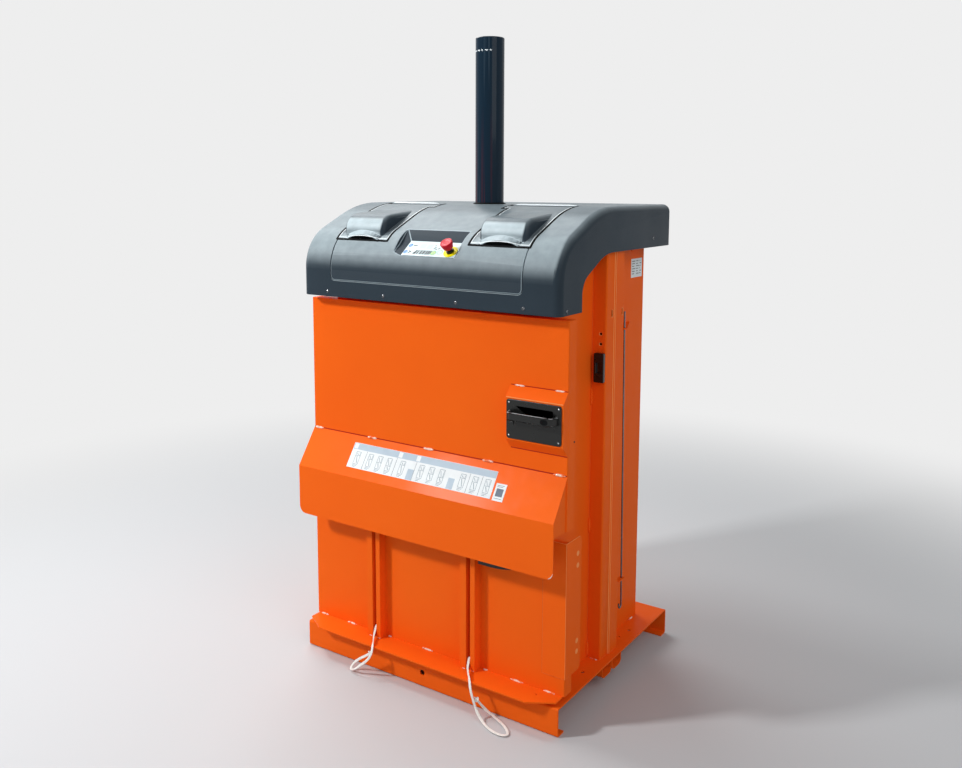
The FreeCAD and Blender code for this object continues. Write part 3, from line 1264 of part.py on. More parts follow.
def finger_arch(inset):
    """The low arch over the lid's front edge, a slice of a round bar laid along the skin."""
    radius = (FINGER_HALF ** 2 + FINGER_RISE ** 2) / (2 * FINGER_RISE)
    lean = math.asin((HOOD_NOSE_Y - LID_FRONT) / HOOD_NOSE_RADIUS)
    outward = V(0, -math.sin(lean), math.cos(lean))
    along = V(0, math.cos(lean), math.sin(lean))
    edge = V((LID_INNER_X + LID_OUTER_X) / 2, LID_FRONT, hood_height(LID_FRONT))
    centre = edge - outward * (radius - FINGER_RISE)
    return rod(radius - inset, centre - along * FINGER_RUN, centre + along * FINGER_RUN)


def lid_dome(inset):
    """The dome's form: a blunt nose and a nearly level back that runs out into the roof."""
    x0 = LID_INNER_X + LID_DOME_INSET[0] + inset
    x1 = LID_OUTER_X - LID_DOME_INSET[1] - inset
    y0 = LID_DOME_FRONT + inset
    nose = LID_DOME_NOSE - inset
    centre = V(x0, LID_DOME_FRONT + LID_DOME_NOSE, HOOD_TOP - LID_DOME_DROP)

    def on_nose(turn):
        return centre + V(0, -math.cos(turn), math.sin(turn)) * nose

    quarter = math.pi / 2 - LID_DOME_SLOPE
    shoulder = on_nose(quarter)
    run = LID_DOME_BACK - shoulder.y
    end = shoulder + V(0, run, run * math.tan(LID_DOME_SLOPE))
    foot = V(0, 0, -HOOD_LEG)
    side = Part.Wire([
        Part.Arc(on_nose(0), on_nose(quarter / 2), shoulder).toShape(), Part.makeLine(shoulder, end),
        Part.makeLine(end, end + foot), Part.makeLine(end + foot, V(x0, y0, end.z - HOOD_LEG)),
        Part.makeLine(V(x0, y0, end.z - HOOD_LEG), on_nose(0)),
    ])
    block = Part.Face(side).extrude(V(x1 - x0, 0, 0))
    rims = [edge for edge in block.Edges if not runs_along(edge, 0) and not runs_along(edge, 2)
            and edge.CenterOfMass.z > centre.z]
    return block.makeFillet(LID_DOME_ROUND - inset, rims)


def lid_knuckle_xs():
    """Where the right lid's two hinge knuckles start."""
    first = SPINE_HALF + SEAM + LID_KNUCKLE_INSET
    last = LID_OUTER_X - LID_KNUCKLE_INSET - LID_KNUCKLE_LENGTH
    return (first, last)


def lid_knuckles():
    """Barrels on short arms behind the lid's back edge."""
    pieces = []
    axis_z = lid_hinge_z()
    seat = LID_BACK - LID_KNUCKLE_RADIUS
    for x in lid_knuckle_xs():
        x1 = x + LID_KNUCKLE_LENGTH
        centre = V(x, LID_HINGE_Y, axis_z)
        arm = profile_x([
            (seat, axis_z - LID_KNUCKLE_RADIUS / 2), (LID_HINGE_Y, axis_z - LID_KNUCKLE_RADIUS),
            (LID_HINGE_Y, axis_z + LID_KNUCKLE_RADIUS), (seat, roof_inner(seat)),
        ], x, x1)
        barrel = rod(LID_KNUCKLE_RADIUS, centre, V(x1, LID_HINGE_Y, axis_z))
        bore = rod(LID_PIN_RADIUS + PIN_CLEARANCE, centre, V(x1, LID_HINGE_Y, axis_z))
        pieces.append(joined([arm, barrel]).cut(bore))
    return pieces


def lid_pins():
    """Hinge pins of both lids, each in two ears under the roof's front edge."""
    pins = []
    axis_z = lid_hinge_z()
    back = ROOF_START + LIP_WIDTH
    for x in lid_knuckle_xs():
        low = x - EAR_GAP - HOOD_WALL
        high = x + LID_KNUCKLE_LENGTH + EAR_GAP
        last = high + HOOD_WALL
        pieces = [rod(LID_PIN_RADIUS, V(low, LID_HINGE_Y, axis_z), V(last, LID_HINGE_Y, axis_z))]
        for start in (low, high):
            pieces.append(profile_x([
                (LID_HINGE_Y - LID_KNUCKLE_RADIUS / 2, axis_z - LID_KNUCKLE_RADIUS),
                (back, axis_z - LID_KNUCKLE_RADIUS), (back, roof_inner(ROOF_START)),
                (ROOF_START, roof_inner(ROOF_START)),
                (LID_HINGE_Y - LID_KNUCKLE_RADIUS / 2, axis_z + LID_KNUCKLE_RADIUS / 2),
            ], start, start + HOOD_WALL))
        pins.append(joined(pieces))
    return both_sides(Part.makeCompound(pins))


def hood_height(y):
    """Height of the hood's outer face above a depth, from the nose to the flat roof."""
    if y >= HOOD_BROW_Y:
        return HOOD_TOP
    if y >= HOOD_BROW_START_Y:
        return HOOD_BROW_Z + math.sqrt(HOOD_BROW_RADIUS ** 2 - (HOOD_BROW_Y - y) ** 2)
    if y >= HOOD_NOSE_END_Y:
        return HOOD_NOSE_END_Z + (y - HOOD_NOSE_END_Y) * math.tan(HOOD_SLOPE)
    return HOOD_NOSE_Z + math.sqrt(HOOD_NOSE_RADIUS ** 2 - (HOOD_NOSE_Y - y) ** 2)


def roof_inner(y):
    """Height of the roof's inner face at a depth on the brow's arc."""
    radius = HOOD_BROW_RADIUS - HOOD_WALL
    return HOOD_BROW_Z + math.sqrt(radius ** 2 - (HOOD_BROW_Y - y) ** 2)


def lid_hinge_z():
    """Height of the lids' hinge axis."""
    return roof_inner(LID_HINGE_Y) - LID_HINGE_DROP


def hood_brackets():
    """Angles from the walls that hold the hood's sides at the back."""
    inner = HOOD_HALF - HOOD_WALL
    half = BRACKET_LENGTH / 2
    t = BRACKET_SHEET
    top = WALL_TOP + BRACKET_HEIGHT
    section = [(WALL_OUT, WALL_TOP - half), (WALL_OUT + t, WALL_TOP - half), (WALL_OUT + t, WALL_TOP - t),
               (inner, WALL_TOP - t), (inner, top), (inner - t, top), (inner - t, WALL_TOP),
               (WALL_OUT, WALL_TOP)]
    return both_sides(profile_y(section, BRACKET_Y - half, BRACKET_Y + half))


# -------------------------------------------------------------- control panel
def control_panel():
    """Flat plate with the membrane keys."""
    along, outward = panel_frame()
    front = V(PANEL_X0, PANEL_Y0, PANEL_Z0)
    reach = along * math.hypot(PANEL_DEPTH, PANEL_LIFT)
    width = V(PANEL_X1 - PANEL_X0, 0, 0)
    face = Part.Face(outline([front, front + width, front + width + reach, front + reach]))
    centre = estop_centre()
    hole = rod(ESTOP_BASE_RADIUS, centre - outward, centre + outward * (PANEL_SHEET + 1))
    return face.extrude(outward * PANEL_SHEET).cut(hole)


def estop_centre():
    """Middle of the emergency stop, on the recess floor."""
    along, _ = panel_frame()
    return V(ESTOP_X, PANEL_Y0, PANEL_Z0) + along * ESTOP_ALONG


def estop_collar():
    """Yellow ring round the emergency stop."""
    _, outward = panel_frame()
    base = estop_centre() + outward * PANEL_SHEET
    return ring(ESTOP_COLLAR_RADIUS, ESTOP_BASE_RADIUS, base, base + outward * ESTOP_COLLAR)


def estop_base():
    """Black body of the emergency stop, through the panel."""
    _, outward = panel_frame()
    centre = estop_centre()
    return ring(ESTOP_BASE_RADIUS, ESTOP_STEM_RADIUS + ESTOP_STEM_CLEARANCE, centre,
                centre + outward * (PANEL_SHEET + ESTOP_BASE))


def estop_stem():
    """Plunger that slides in the body, clear of the tray at the end of its travel."""
    _, outward = panel_frame()
    centre = estop_centre()
    return rod(ESTOP_STEM_RADIUS, centre + outward * (ESTOP_TRAVEL + DOOR_REST_GAP),
               centre + outward * (PANEL_SHEET + ESTOP_BASE + ESTOP_NECK))


def estop_head():
    """Red mushroom that pushes and twists."""
    _, outward = panel_frame()
    rim = estop_centre() + outward * (PANEL_SHEET + ESTOP_BASE + ESTOP_NECK)
    head = Part.makeCylinder(ESTOP_HEAD_RADIUS, ESTOP_HEAD, rim, outward)
    crown = [edge for edge in head.Edges if isinstance(edge.Curve, Part.Circle)
             and (edge.CenterOfMass - rim).dot(outward) > ESTOP_HEAD / 2]
    return head.makeChamfer(ESTOP_HEAD_ROUND / 2, crown)


# ---------------------------------------------------------------- strap reels
def reel_stands():
    """Plates from the deck with the bars that the reels turn on."""
    x0 = REEL_X0 - STAND_GAP - STAND_SHEET
    x1 = REEL_X1 + STAND_GAP
    pieces = [rod(SPINDLE_RADIUS, V(x0, REEL_Y, REEL_Z), V(x1 + STAND_SHEET, REEL_Y, REEL_Z))]
    for x in (x0, x1):
        pieces.append(profile_x([
            (REEL_Y - STAND_HALF_Y, DECK_TOP), (REEL_Y + STAND_HALF_Y, DECK_TOP),
            (REEL_Y + STAND_CROWN, REEL_Z + STAND_CROWN), (REEL_Y - STAND_CROWN, REEL_Z + STAND_CROWN),
        ], x, x + STAND_SHEET))
    return both_sides(joined(pieces))


def reel_core():
    """Right reel: a hub with two thin flanges."""
    hub = ring(REEL_CORE_RADIUS, SPINDLE_RADIUS + SPINDLE_CLEARANCE, V(REEL_X0, REEL_Y, REEL_Z),
               V(REEL_X1, REEL_Y, REEL_Z))
    flanges = [ring(REEL_RADIUS, REEL_CORE_RADIUS, V(x, REEL_Y, REEL_Z), V(x + REEL_FLANGE, REEL_Y, REEL_Z))
               for x in (REEL_X0, REEL_X1 - REEL_FLANGE)]
    return joined([hub] + flanges)


def strap_coil():
    """Wound strap on the right reel."""
    return ring(COIL_RADIUS, REEL_CORE_RADIUS, V(REEL_X0 + REEL_FLANGE, REEL_Y, REEL_Z),
                V(REEL_X1 - REEL_FLANGE, REEL_Y, REEL_Z))


# ------------------------------------------------------------- hydraulic unit
def hydraulic_unit():
    """Oil tank with its filler neck, and the motor on its foot with a narrower fan cowl."""
    tank = profile_z(rectangle(TANK_X0, TANK_X1, TANK_Y0, TANK_Y1), DECK_TOP, DECK_TOP + TANK_HEIGHT,
                     {index: TANK_ROUND for index in range(4)})
    neck = V(TANK_X0 + FILLER_INSET, TANK_Y0 + FILLER_INSET, DECK_TOP + TANK_HEIGHT)
    filler = rod(FILLER_RADIUS, neck, neck + V(0, 0, FILLER_HEIGHT))
    cowl_x = MOTOR_X1 - COWL_LENGTH
    body = rod(MOTOR_RADIUS, V(MOTOR_X0, MOTOR_Y, MOTOR_Z), V(cowl_x, MOTOR_Y, MOTOR_Z))
    cowl = rod(MOTOR_RADIUS - COWL_STEP, V(cowl_x, MOTOR_Y, MOTOR_Z), V(MOTOR_X1, MOTOR_Y, MOTOR_Z))
    foot = box(MOTOR_X0 + MOTOR_FOOT_INSET, cowl_x - MOTOR_FOOT_INSET, MOTOR_Y - MOTOR_FOOT_HALF,
               MOTOR_Y + MOTOR_FOOT_HALF, DECK_TOP, MOTOR_Z)
    return Part.makeCompound([joined([tank, filler]), joined([body, cowl, foot])])


def valve_block():
    """Pump and valve block between the tank and the motor, with the pipe to the cylinder."""
    front = MOTOR_Y - VALVE_HALF_Y
    block = box(TANK_X1, MOTOR_X0, front, MOTOR_Y + VALVE_HALF_Y,
                MOTOR_Z - VALVE_DROP, MOTOR_Z + VALVE_RISE)
    pipe_z = CROSSHEAD_Z + CROSSHEAD_HEIGHT + PIPE_LIFT
    pipe = rod(PIPE_RADIUS, V(0, CYLINDER_Y, pipe_z), V(0, front, pipe_z))
    barrel = rod(CYLINDER_RADIUS, V(0, CYLINDER_Y, BARREL_Z), V(0, CYLINDER_Y, CYLINDER_TOP))
    return joined([block, pipe.cut(barrel)])


def control_box():
    """Electrical box under the console, between the reels."""
    return profile_z(rectangle(-BOX_HALF_X, BOX_HALF_X, BOX_Y0, BOX_Y1), DECK_TOP, DECK_TOP + BOX_HEIGHT,
                     {index: BOX_ROUND for index in range(4)})


# ----------------------------------------------------------- labels and tools
def side_plate():
    """Small plate high on the right wall."""
    return box(WALL_OUT, WALL_OUT + LABEL_SHEET, PLATE_Y0, PLATE_Y1, PLATE_Z0, PLATE_Z1)


def tool_top():
    """Upper end of the strap tool."""
    return V(TOOL_X, TOOL_TOP_Y, TOOL_TOP_Z)


def tool_foot():
    """Lower end of the strap tool's straight bar."""
    return V(TOOL_X, TOOL_FOOT_Y, TOOL_FOOT_Z)


def strap_tool():
    """Threading bar with a small hook at its foot."""
    foot = tool_foot()
    ahead = V(0, -TOOL_HOOK, 0)
    up = V(0, 0, TOOL_HOOK)
    hook = [tool_top(), foot - up, foot - up + ahead + ahead, foot + up + ahead + ahead]
    tube, _, _ = tube_along(hook, TOOL_RADIUS, STRAP_SHARE)
    return tube


def tool_shadow():
    """The straight part of the tool, for the holes that it stands in."""
    foot = tool_foot()
    return rod(TOOL_RADIUS, tool_top(), foot - V(0, 0, TOOL_HOOK))


def tool_brackets():
    """Tapered bracket on the wall that the tool stands in, and a clip on the column below it."""
    t = HOOK_SHEET
    front = COLUMN_BACK + t
    back = front + HOOK_LENGTH
    near = TOOL_TOP_Y + TOOL_HOOK
    leg = profile_z([(WALL_OUT, front), (HOOK_X1, front), (HOOK_X1, near), (WALL_OUT, back)],
                    HOOK_Z, HOOK_Z + t, {1: t, 2: t})
    fold = box(WALL_OUT, WALL_OUT + t, front + HOOK_TIP, back - HOOK_TIP, HOOK_Z - HOOK_TIP, HOOK_Z + t)
    tooth_x = TOOL_X - HOOK_TOOTH
    tooth = profile_x([(near, HOOK_Z), (near + HOOK_TIP, HOOK_Z), (near + HOOK_TIP / 2, HOOK_Z + HOOK_TOOTH)],
                      tooth_x - t, tooth_x)
    clip = box(TOOL_X - TOOL_HOOK, HOOK_X1, COLUMN_BACK, COLUMN_BACK + CLIP_REACH, CLIP_Z, CLIP_Z + t)
    hook = joined([leg, fold, tooth])
    return Part.makeCompound([hook.cut(tool_shadow()), clip.cut(tool_shadow())])


# --------------------------------------------------------------------- straps
def strap(name, route):
    """A strap's tube; its length, volume check and tightest bends are printed."""
    points = [V(*point) for point in route]
    tube, length, radii = tube_along(points, STRAP_RADIUS, STRAP_SHARE)
    share = tube.Volume / (math.pi * STRAP_RADIUS ** 2 * length)
    bends = ", ".join(f"{radius:.0f}" for radius in radii)
    print(f"{name}: length {length:.0f} mm, diameter {2 * STRAP_RADIUS:.0f} mm, "
          f"volume over section times length {share:.3f}, bends {bends} mm")
    return tube


# ------------------------------------------------------------------- the part
NODES = {
    "base_frame": base_frame(),
    "base_runners": base_runners(),
    "side_walls": both_sides(side_wall()),
    "back_wall": back_wall(),
    "back_ribs": back_ribs(),
    "front_posts": both_sides(front_post()),
    "sill_beam": sill_beam(),
    "floor_trays": floor_trays(),
    "top_deck": top_deck(),
    "side_columns": both_sides(side_column()),
    "strap_catch": strap_catch(),
    "upper_hinge_brackets": mirrored(hinge_brackets(UPPER_KNUCKLE_ZS)),
    "lower_hinge_brackets": hinge_brackets(LOWER_KNUCKLE_ZS),
    "door_keepers": door_keepers(),
    "crosshead": crosshead(),
    "cylinder_flange": cylinder_flange(),
    "cylinder_bolts": cylinder_bolts(),
    "cylinder_barrel": cylinder_barrel(),
    "hood_shell": hood_shell(),
    "hood_brackets": hood_brackets(),
    "roof_cover": roof_cover(),
    "console_cover": console_cover(),
    "lid_pins": lid_pins(),
    "control_panel": control_panel(),
    "estop_collar": estop_collar(),
    "estop_base": estop_base(),
    "reel_stands": reel_stands(),
    "hydraulic_unit": hydraulic_unit(),
    "valve_block": valve_block(),
    "control_box": control_box(),
    "side_plate": side_plate(),
    "tool_brackets": tool_brackets(),
    "strap_tool": strap_tool(),
    "upper_door_skin": door_tray(UPPER_BOTTOM, UPPER_TOP),
    "upper_door_liner": door_liner(UPPER_BOTTOM, UPPER_TOP),
    "deflector": deflector(),
    "instruction_label": instruction_label(),
    "small_label": small_label(),
    "handle_box": handle_box(),
    "pull_plate": pull_plate(),
    "upper_hinge_leaves": upper_hinge_leaves(),
    "lower_door_skin": lower_door_skin(),
    "lower_door_liner": lower_door_liner(),
    "strap_channels": Part.makeCompound([strap_channel(x) for x in STRAP_XS]),
    "lower_shelf": lower_shelf(),
    "wrap_plate": wrap_plate(),
    "lower_hinge_blocks": lower_hinge_blocks(),
    "lower_pull": lower_pull(),
    "left_strap": strap("left_strap", LEFT_STRAP),
    "right_strap": strap("right_strap", RIGHT_STRAP),
    "piston_rod": piston_rod(),
    "platen": joined([platen(), platen_pads()]),
    "lid_right": lid(),
    "lid_left": mirrored(lid()),
    "reel_right": reel_core(),
    "reel_left": mirrored(reel_core()),
    "coil_right": strap_coil(),
    "coil_left": mirrored(strap_coil()),
    "estop_stem": estop_stem(),
    "estop_head": estop_head(),
}


def save(name, shape):
    """Write one sub-part, moved so that the origin is under the machine's middle."""
    placed = shape.copy()
    placed.translate(V(0, -ORIGIN_Y, 0))
    if not placed.isValid() or placed.Volume <= 0:
        raise ValueError(f"{name} is not a sound solid")
    placed.exportStep(f"parts/{name}.step")


os.makedirs("parts", exist_ok=True)
for node, solid in NODES.items():
    save(node, solid)
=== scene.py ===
"""Looks of an upright recycling baler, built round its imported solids.

Sizes are in millimetres, measured like the machine's drawings: X to the side with
the upper door's pull, Y back from the front face of the base, Z up from the floor.
`metres` turns them into the scene's own metres.
"""

import logging
import math
from dataclasses import dataclass
from enum import Enum
from typing import Iterable, Sequence

import bmesh
import bpy
import numpy as np
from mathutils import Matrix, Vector

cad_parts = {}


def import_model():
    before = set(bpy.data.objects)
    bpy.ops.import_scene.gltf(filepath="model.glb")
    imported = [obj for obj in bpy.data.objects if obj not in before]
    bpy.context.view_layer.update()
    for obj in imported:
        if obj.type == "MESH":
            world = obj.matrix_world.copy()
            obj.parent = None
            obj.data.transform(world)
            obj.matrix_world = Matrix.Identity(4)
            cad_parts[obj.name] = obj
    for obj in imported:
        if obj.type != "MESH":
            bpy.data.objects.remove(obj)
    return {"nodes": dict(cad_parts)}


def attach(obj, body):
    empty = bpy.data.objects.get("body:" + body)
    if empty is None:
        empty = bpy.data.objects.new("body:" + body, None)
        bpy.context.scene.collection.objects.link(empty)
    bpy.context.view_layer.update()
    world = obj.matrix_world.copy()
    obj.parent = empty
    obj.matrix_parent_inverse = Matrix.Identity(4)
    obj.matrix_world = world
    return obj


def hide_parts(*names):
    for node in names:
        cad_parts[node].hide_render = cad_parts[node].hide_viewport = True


LOG = logging.getLogger("baler")
MM = 0.001
FRONT = 355.0  # from the scene's origin forward to the base's front face
RIGHT, BACK, UP = np.eye(3)
FORWARD = -BACK
SMOOTH_ANGLE = math.radians(38.0)  # a drawn surface is smooth up to this fold
FOLD_ANGLE = math.radians(18.0)  # a CAD node's edge is rounded from this fold on
FLAT_ANGLE = math.radians(0.5)  # triangles that fold less than this lie in one plane
DRAWN_LIMITS = (1e-7, 1e-8)  # in drawn pieces, metres under which points merge and faces go
CAD_LIMITS = (1e-6, 4e-4)  # the same in CAD nodes

Socket = bpy.types.NodeSocket
Nodes = dict[str, bpy.types.Object]
Pair = tuple[float, float]
Triple = tuple[float, float, float]
Quad = tuple[float, float, float, float]
Shape = tuple[np.ndarray, Sequence]


class Rider(str, Enum):
    """The moving groups of the machine that a piece can ride on."""

    FRAME = "frame"
    UPPER_DOOR = "upper_door"
    LOWER_DOOR = "lower_door"
    LID_LEFT = "lid_left"
    LID_RIGHT = "lid_right"
    ESTOP_HEAD = "estop_head"


class Slot(str, Enum):
    """Names of the material slots."""

    ORANGE = "orange_paint"
    STEEL_PAINT = "steel_paint"
    CYLINDER = "cylinder_black"
    HOOD = "hood_plastic"
    PULL = "pull_plastic"
    KEYPAD = "keypad_film"
    LABEL = "label_film"
    RED = "red_plastic"
    BLACK = "black_plastic"
    STRAP = "strap_fabric"


class Side(Enum):
    """The machine's two sides, as the sign of X."""

    RIGHT = 1.0
    LEFT = -1.0

    @property
    def word(self) -> str:
        """The side's name in a piece's name."""
        return self.name.lower()


@dataclass(frozen=True)
class Tint:
    """A colour as it looks on a screen, from 0 to 255."""

    red: float
    green: float
    blue: float

    def linear(self, scale: float = 1.0, lift: float = 0.0) -> tuple[float, ...]:
        """The colour in the renderer's linear light, with full alpha.

        Args:
            scale: what each channel is multiplied by.
            lift: what is then added to it.

        Returns:
            Red, green, blue and alpha.
        """
        shares = np.array([self.red, self.green, self.blue]) / 255.0
        values = np.where(shares <= 0.04045, shares / 12.92, ((shares + 0.055) / 1.055) ** 2.4)
        return (*np.minimum(1.0, scale * values + lift).tolist(), 1.0)


def metres(points: Sequence) -> np.ndarray:
    """A drawing's point, or rows of points, in scene metres."""
    return (np.asarray(points, float) - np.array([0.0, FRONT, 0.0])) * MM


def line(x: object, y: object, z: object) -> np.ndarray:
    """Points in scene metres from drawing coordinates; a single number holds for every point."""
    return metres(np.stack(np.broadcast_arrays(x, y, z), axis=1))


def hung(name: str, data: bpy.types.ID) -> bpy.types.Object:
    """A new object of the scene that shows some data.

    Args:
        name: its name.
        data: a mesh, curve, lamp or camera.

    Returns:
        The object.
    """
    made = bpy.data.objects.new(name, data)
    bpy.context.scene.collection.objects.link(made)
    return made


# ---------------------------------------------------------------- finishes
@dataclass(frozen=True)
class Mottle:
    """Cloudy noise whose values from low to high become a share from start to end."""

    scale: float
    detail: float
    low: float = 0.3
    high: float = 0.7
    start: float = 0.0
    end: float = 1.0
    stretch: Triple = (1.0, 1.0, 1.0)


@dataclass(frozen=True)
class Grain:
    """A bump made by noise: its strength, and its depth in metres."""

    scale: float
    detail: float
    strength: float
    depth: float
    stretch: Triple = (1.0, 1.0, 1.0)


class Tree:
    """A node tree that is being laid out."""

    def __init__(self, tree: bpy.types.NodeTree) -> None:
        """Keeps the tree."""
        self.tree = tree

    def wire(self, node: bpy.types.Node, values: dict[int | str, object]) -> bpy.types.Node:
        """Links or sets a node's inputs.

        Args:
            node: the node.
            values: an output or a plain value for each input, by index or by name with _ for a space.

        Returns:
            The same node.
        """
        for key, value in values.items():
            socket = node.inputs[key.replace("_", " ") if isinstance(key, str) else key]
            if isinstance(value, Socket):
                self.tree.links.new(value, socket)
            else:
                socket.default_value = value
        return node

    def node(self, kind: str, settings: dict | None = None, **sockets: object) -> bpy.types.Node:
        """Adds a node.

        Args:
            kind: the node's type, without its usual first word.
            settings: attributes of the node itself.
            sockets: values or outputs for its inputs, as wire takes them.

        Returns:
            The new node.
        """
        made = self.tree.nodes.new(f"ShaderNode{kind}")
        for key, value in (settings or {}).items():
            setattr(made, key, value)
        return self.wire(made, sockets)

    def maths(self, operation: str, first: object, second: object = 0.0) -> Socket:
        """One sum of two values."""
        return self.wire(self.node("Math", {"operation": operation}), {0: first, 1: second}).outputs[0]

    def blend(self, share: object, first: object, second: object) -> Socket:
        """Mixes two colours by a share; 6 and 7 are a colour mix's inputs and 2 its output."""
        return self.wire(self.node("Mix", {"data_type": "RGBA"}), {0: share, 6: first, 7: second}).outputs[2]

    def mixed(self, share: Socket, first: bpy.types.Node, second: bpy.types.Node) -> Socket:
        """Mixes two shaders by a share."""
        shaders = {0: share, 1: first.outputs[0], 2: second.outputs[0]}
        return self.wire(self.node("MixShader"), shaders).outputs[0]

    def span(self, source: Socket, low: float, high: float, start: float = 0.0, end: float = 1.0,
             kind: str = "LINEAR") -> Socket:
        """Maps low..high of a value onto start..end, straight or as a smooth step."""
        return self.node("MapRange", {"interpolation_type": kind}, Value=source, From_Min=low, From_Max=high,
                         To_Min=start, To_Max=end).outputs["Result"]

    def seen(self) -> Socket:
        """One where a ray comes from the camera, a mirror or through glass, and zero elsewhere.

        Returns:
            The socket with that number.
        """
        rays = self.node("LightPath").outputs
        either = self.maths("MAXIMUM", rays["Is Camera Ray"], rays["Is Glossy Ray"])
        return self.maths("MAXIMUM", either, rays["Is Transmission Ray"])


class Bench(Tree):
    """A workbench for one material's nodes."""

    def __init__(self, name: str) -> None:
        """Starts a material with its shader and object coordinates.

        Args:
            name: the material's name.
        """
        self.material = bpy.data.materials.new(name)
        self.material.use_nodes = True
        super().__init__(self.material.node_tree)
        self.shader = self.tree.nodes["Principled BSDF"]
        self.place = self.node("TexCoord").outputs["Object"]

    def noise(self, scale: float, detail: float, stretch: Triple = (1.0, 1.0, 1.0)) -> Socket:
        """Cloudy noise from 0 to 1, stretched along the axes."""
        spread = self.node("Mapping", Vector=self.place, Scale=stretch).outputs["Vector"]
        return self.node("TexNoise", Vector=spread, Scale=scale, Detail=detail).outputs["Fac"]

    def mottled(self, spots: Mottle) -> Socket:
        """The share that a mottle gives."""
        cloud = self.noise(spots.scale, spots.detail, spots.stretch)
        return self.span(cloud, spots.low, spots.high, spots.start, spots.end)

    def layered(self, base: object, *layers: tuple[Mottle, object]) -> Socket:
        """Lays colours over a base one after another, each by its own mottle.

        Args:
            base: the lowest colour.
            layers: the mottle and the colour of each layer.

        Returns:
            The colour.
        """
        for spots, colour in layers:
            base = self.blend(self.mottled(spots), base, colour)
        return base

    def bump(self, height: Socket, strength: float, depth: float) -> Socket:
        """A normal bumped by a height from 0 to 1."""
        return self.node("Bump", Height=height, Strength=strength, Distance=depth).outputs["Normal"]

    def grained(self, grain: Grain) -> Socket:
        """A normal bumped by a grain."""
        return self.bump(self.noise(grain.scale, grain.detail, grain.stretch), grain.strength, grain.depth)

    def shade(self, **values: object) -> None:
        """Links or sets the shader's inputs, as wire takes them."""
        self.wire(self.shader, values)


@dataclass(frozen=True)
class Finish:
    """A finish: its material's name and its main colour. Each kind lays out its own nodes."""

    name: str
    tint: Tint

    def paint(self, bench: Bench) -> None:
        """Lays out the nodes."""
        raise NotImplementedError(self.name)

    def material(self) -> bpy.types.Material:
        """A new material with the finish's nodes.

        Returns:
            The material.
        """
        bench = Bench(self.name)
        self.paint(bench)
        return bench.material

    @staticmethod
    def dull(scale: float, detail: float, middle: float, less: float, more: float,
             stretch: Triple = (1.0, 1.0, 1.0)) -> Mottle:
        """A mottle for a roughness that wanders from less under its middle to more over it."""
        return Mottle(scale, detail, start=middle - less, end=middle + more, stretch=stretch)


@dataclass(frozen=True)
class PowderCoat(Finish):
    """Sprayed paint on folded steel: fine peel, faint clouds and rubbed spots."""

    deep: Tint
    roughness: float = 0.36
    clouds: Mottle = Mottle(2.2, 4.0, 0.35, 0.72, end=0.32)
    rubs: Mottle = Mottle(14.0, 8.0, 0.74, 0.82, end=0.08)
    peel: Grain = Grain(420.0, 2.0, 0.12, 0.0006)

    def paint(self, bench: Bench) -> None:
        """Colour = tint clouded towards the deeper tint, with a few paler rub marks.

        Args:
            bench: the material's workbench.
        """
        base = bench.layered(self.tint.linear(), (self.clouds, self.deep.linear()),
                             (self.rubs, self.tint.linear(0.75, 0.25)))
        rough = bench.mottled(self.dull(30.0, 6.0, self.roughness, 0.06, 0.08))
        bench.shade(Base_Color=base, Roughness=rough, Normal=bench.grained(self.peel), Coat_Weight=0.02,
                    Coat_Roughness=0.12, Specular_IOR_Level=0.03)


@dataclass(frozen=True)
class Beading(Finish):
    """Thick glossy paint over a rough bead of weld, in a paler orange with grey-white specks: painted glints,
    the specks partly metal showing through the paint.
    """

    deep: Tint
    glint_tint: Tint = Tint(250, 236, 222)
    clouds: Mottle = Mottle(120.0, 4.0, 0.35, 0.65)
    glint_flecks: Mottle = Mottle(70.0, 6.0, 0.42, 0.5, end=0.85)
    lumps: Grain = Grain(260.0, 3.0, 0.4, 0.0008)

    def paint(self, bench: Bench) -> None:
        """Colour = tint mottled with the deeper tint and flecked with grey-white painted glints.

        Args:
            bench: the material's workbench.
        """
        base = bench.layered(self.tint.linear(), (self.clouds, self.deep.linear()),
                             (self.glint_flecks, self.glint_tint.linear()))
        bench.shade(Base_Color=base, Normal=bench.grained(self.lumps), Roughness=0.16, Coat_Weight=0.8,
                    Coat_Roughness=0.06)


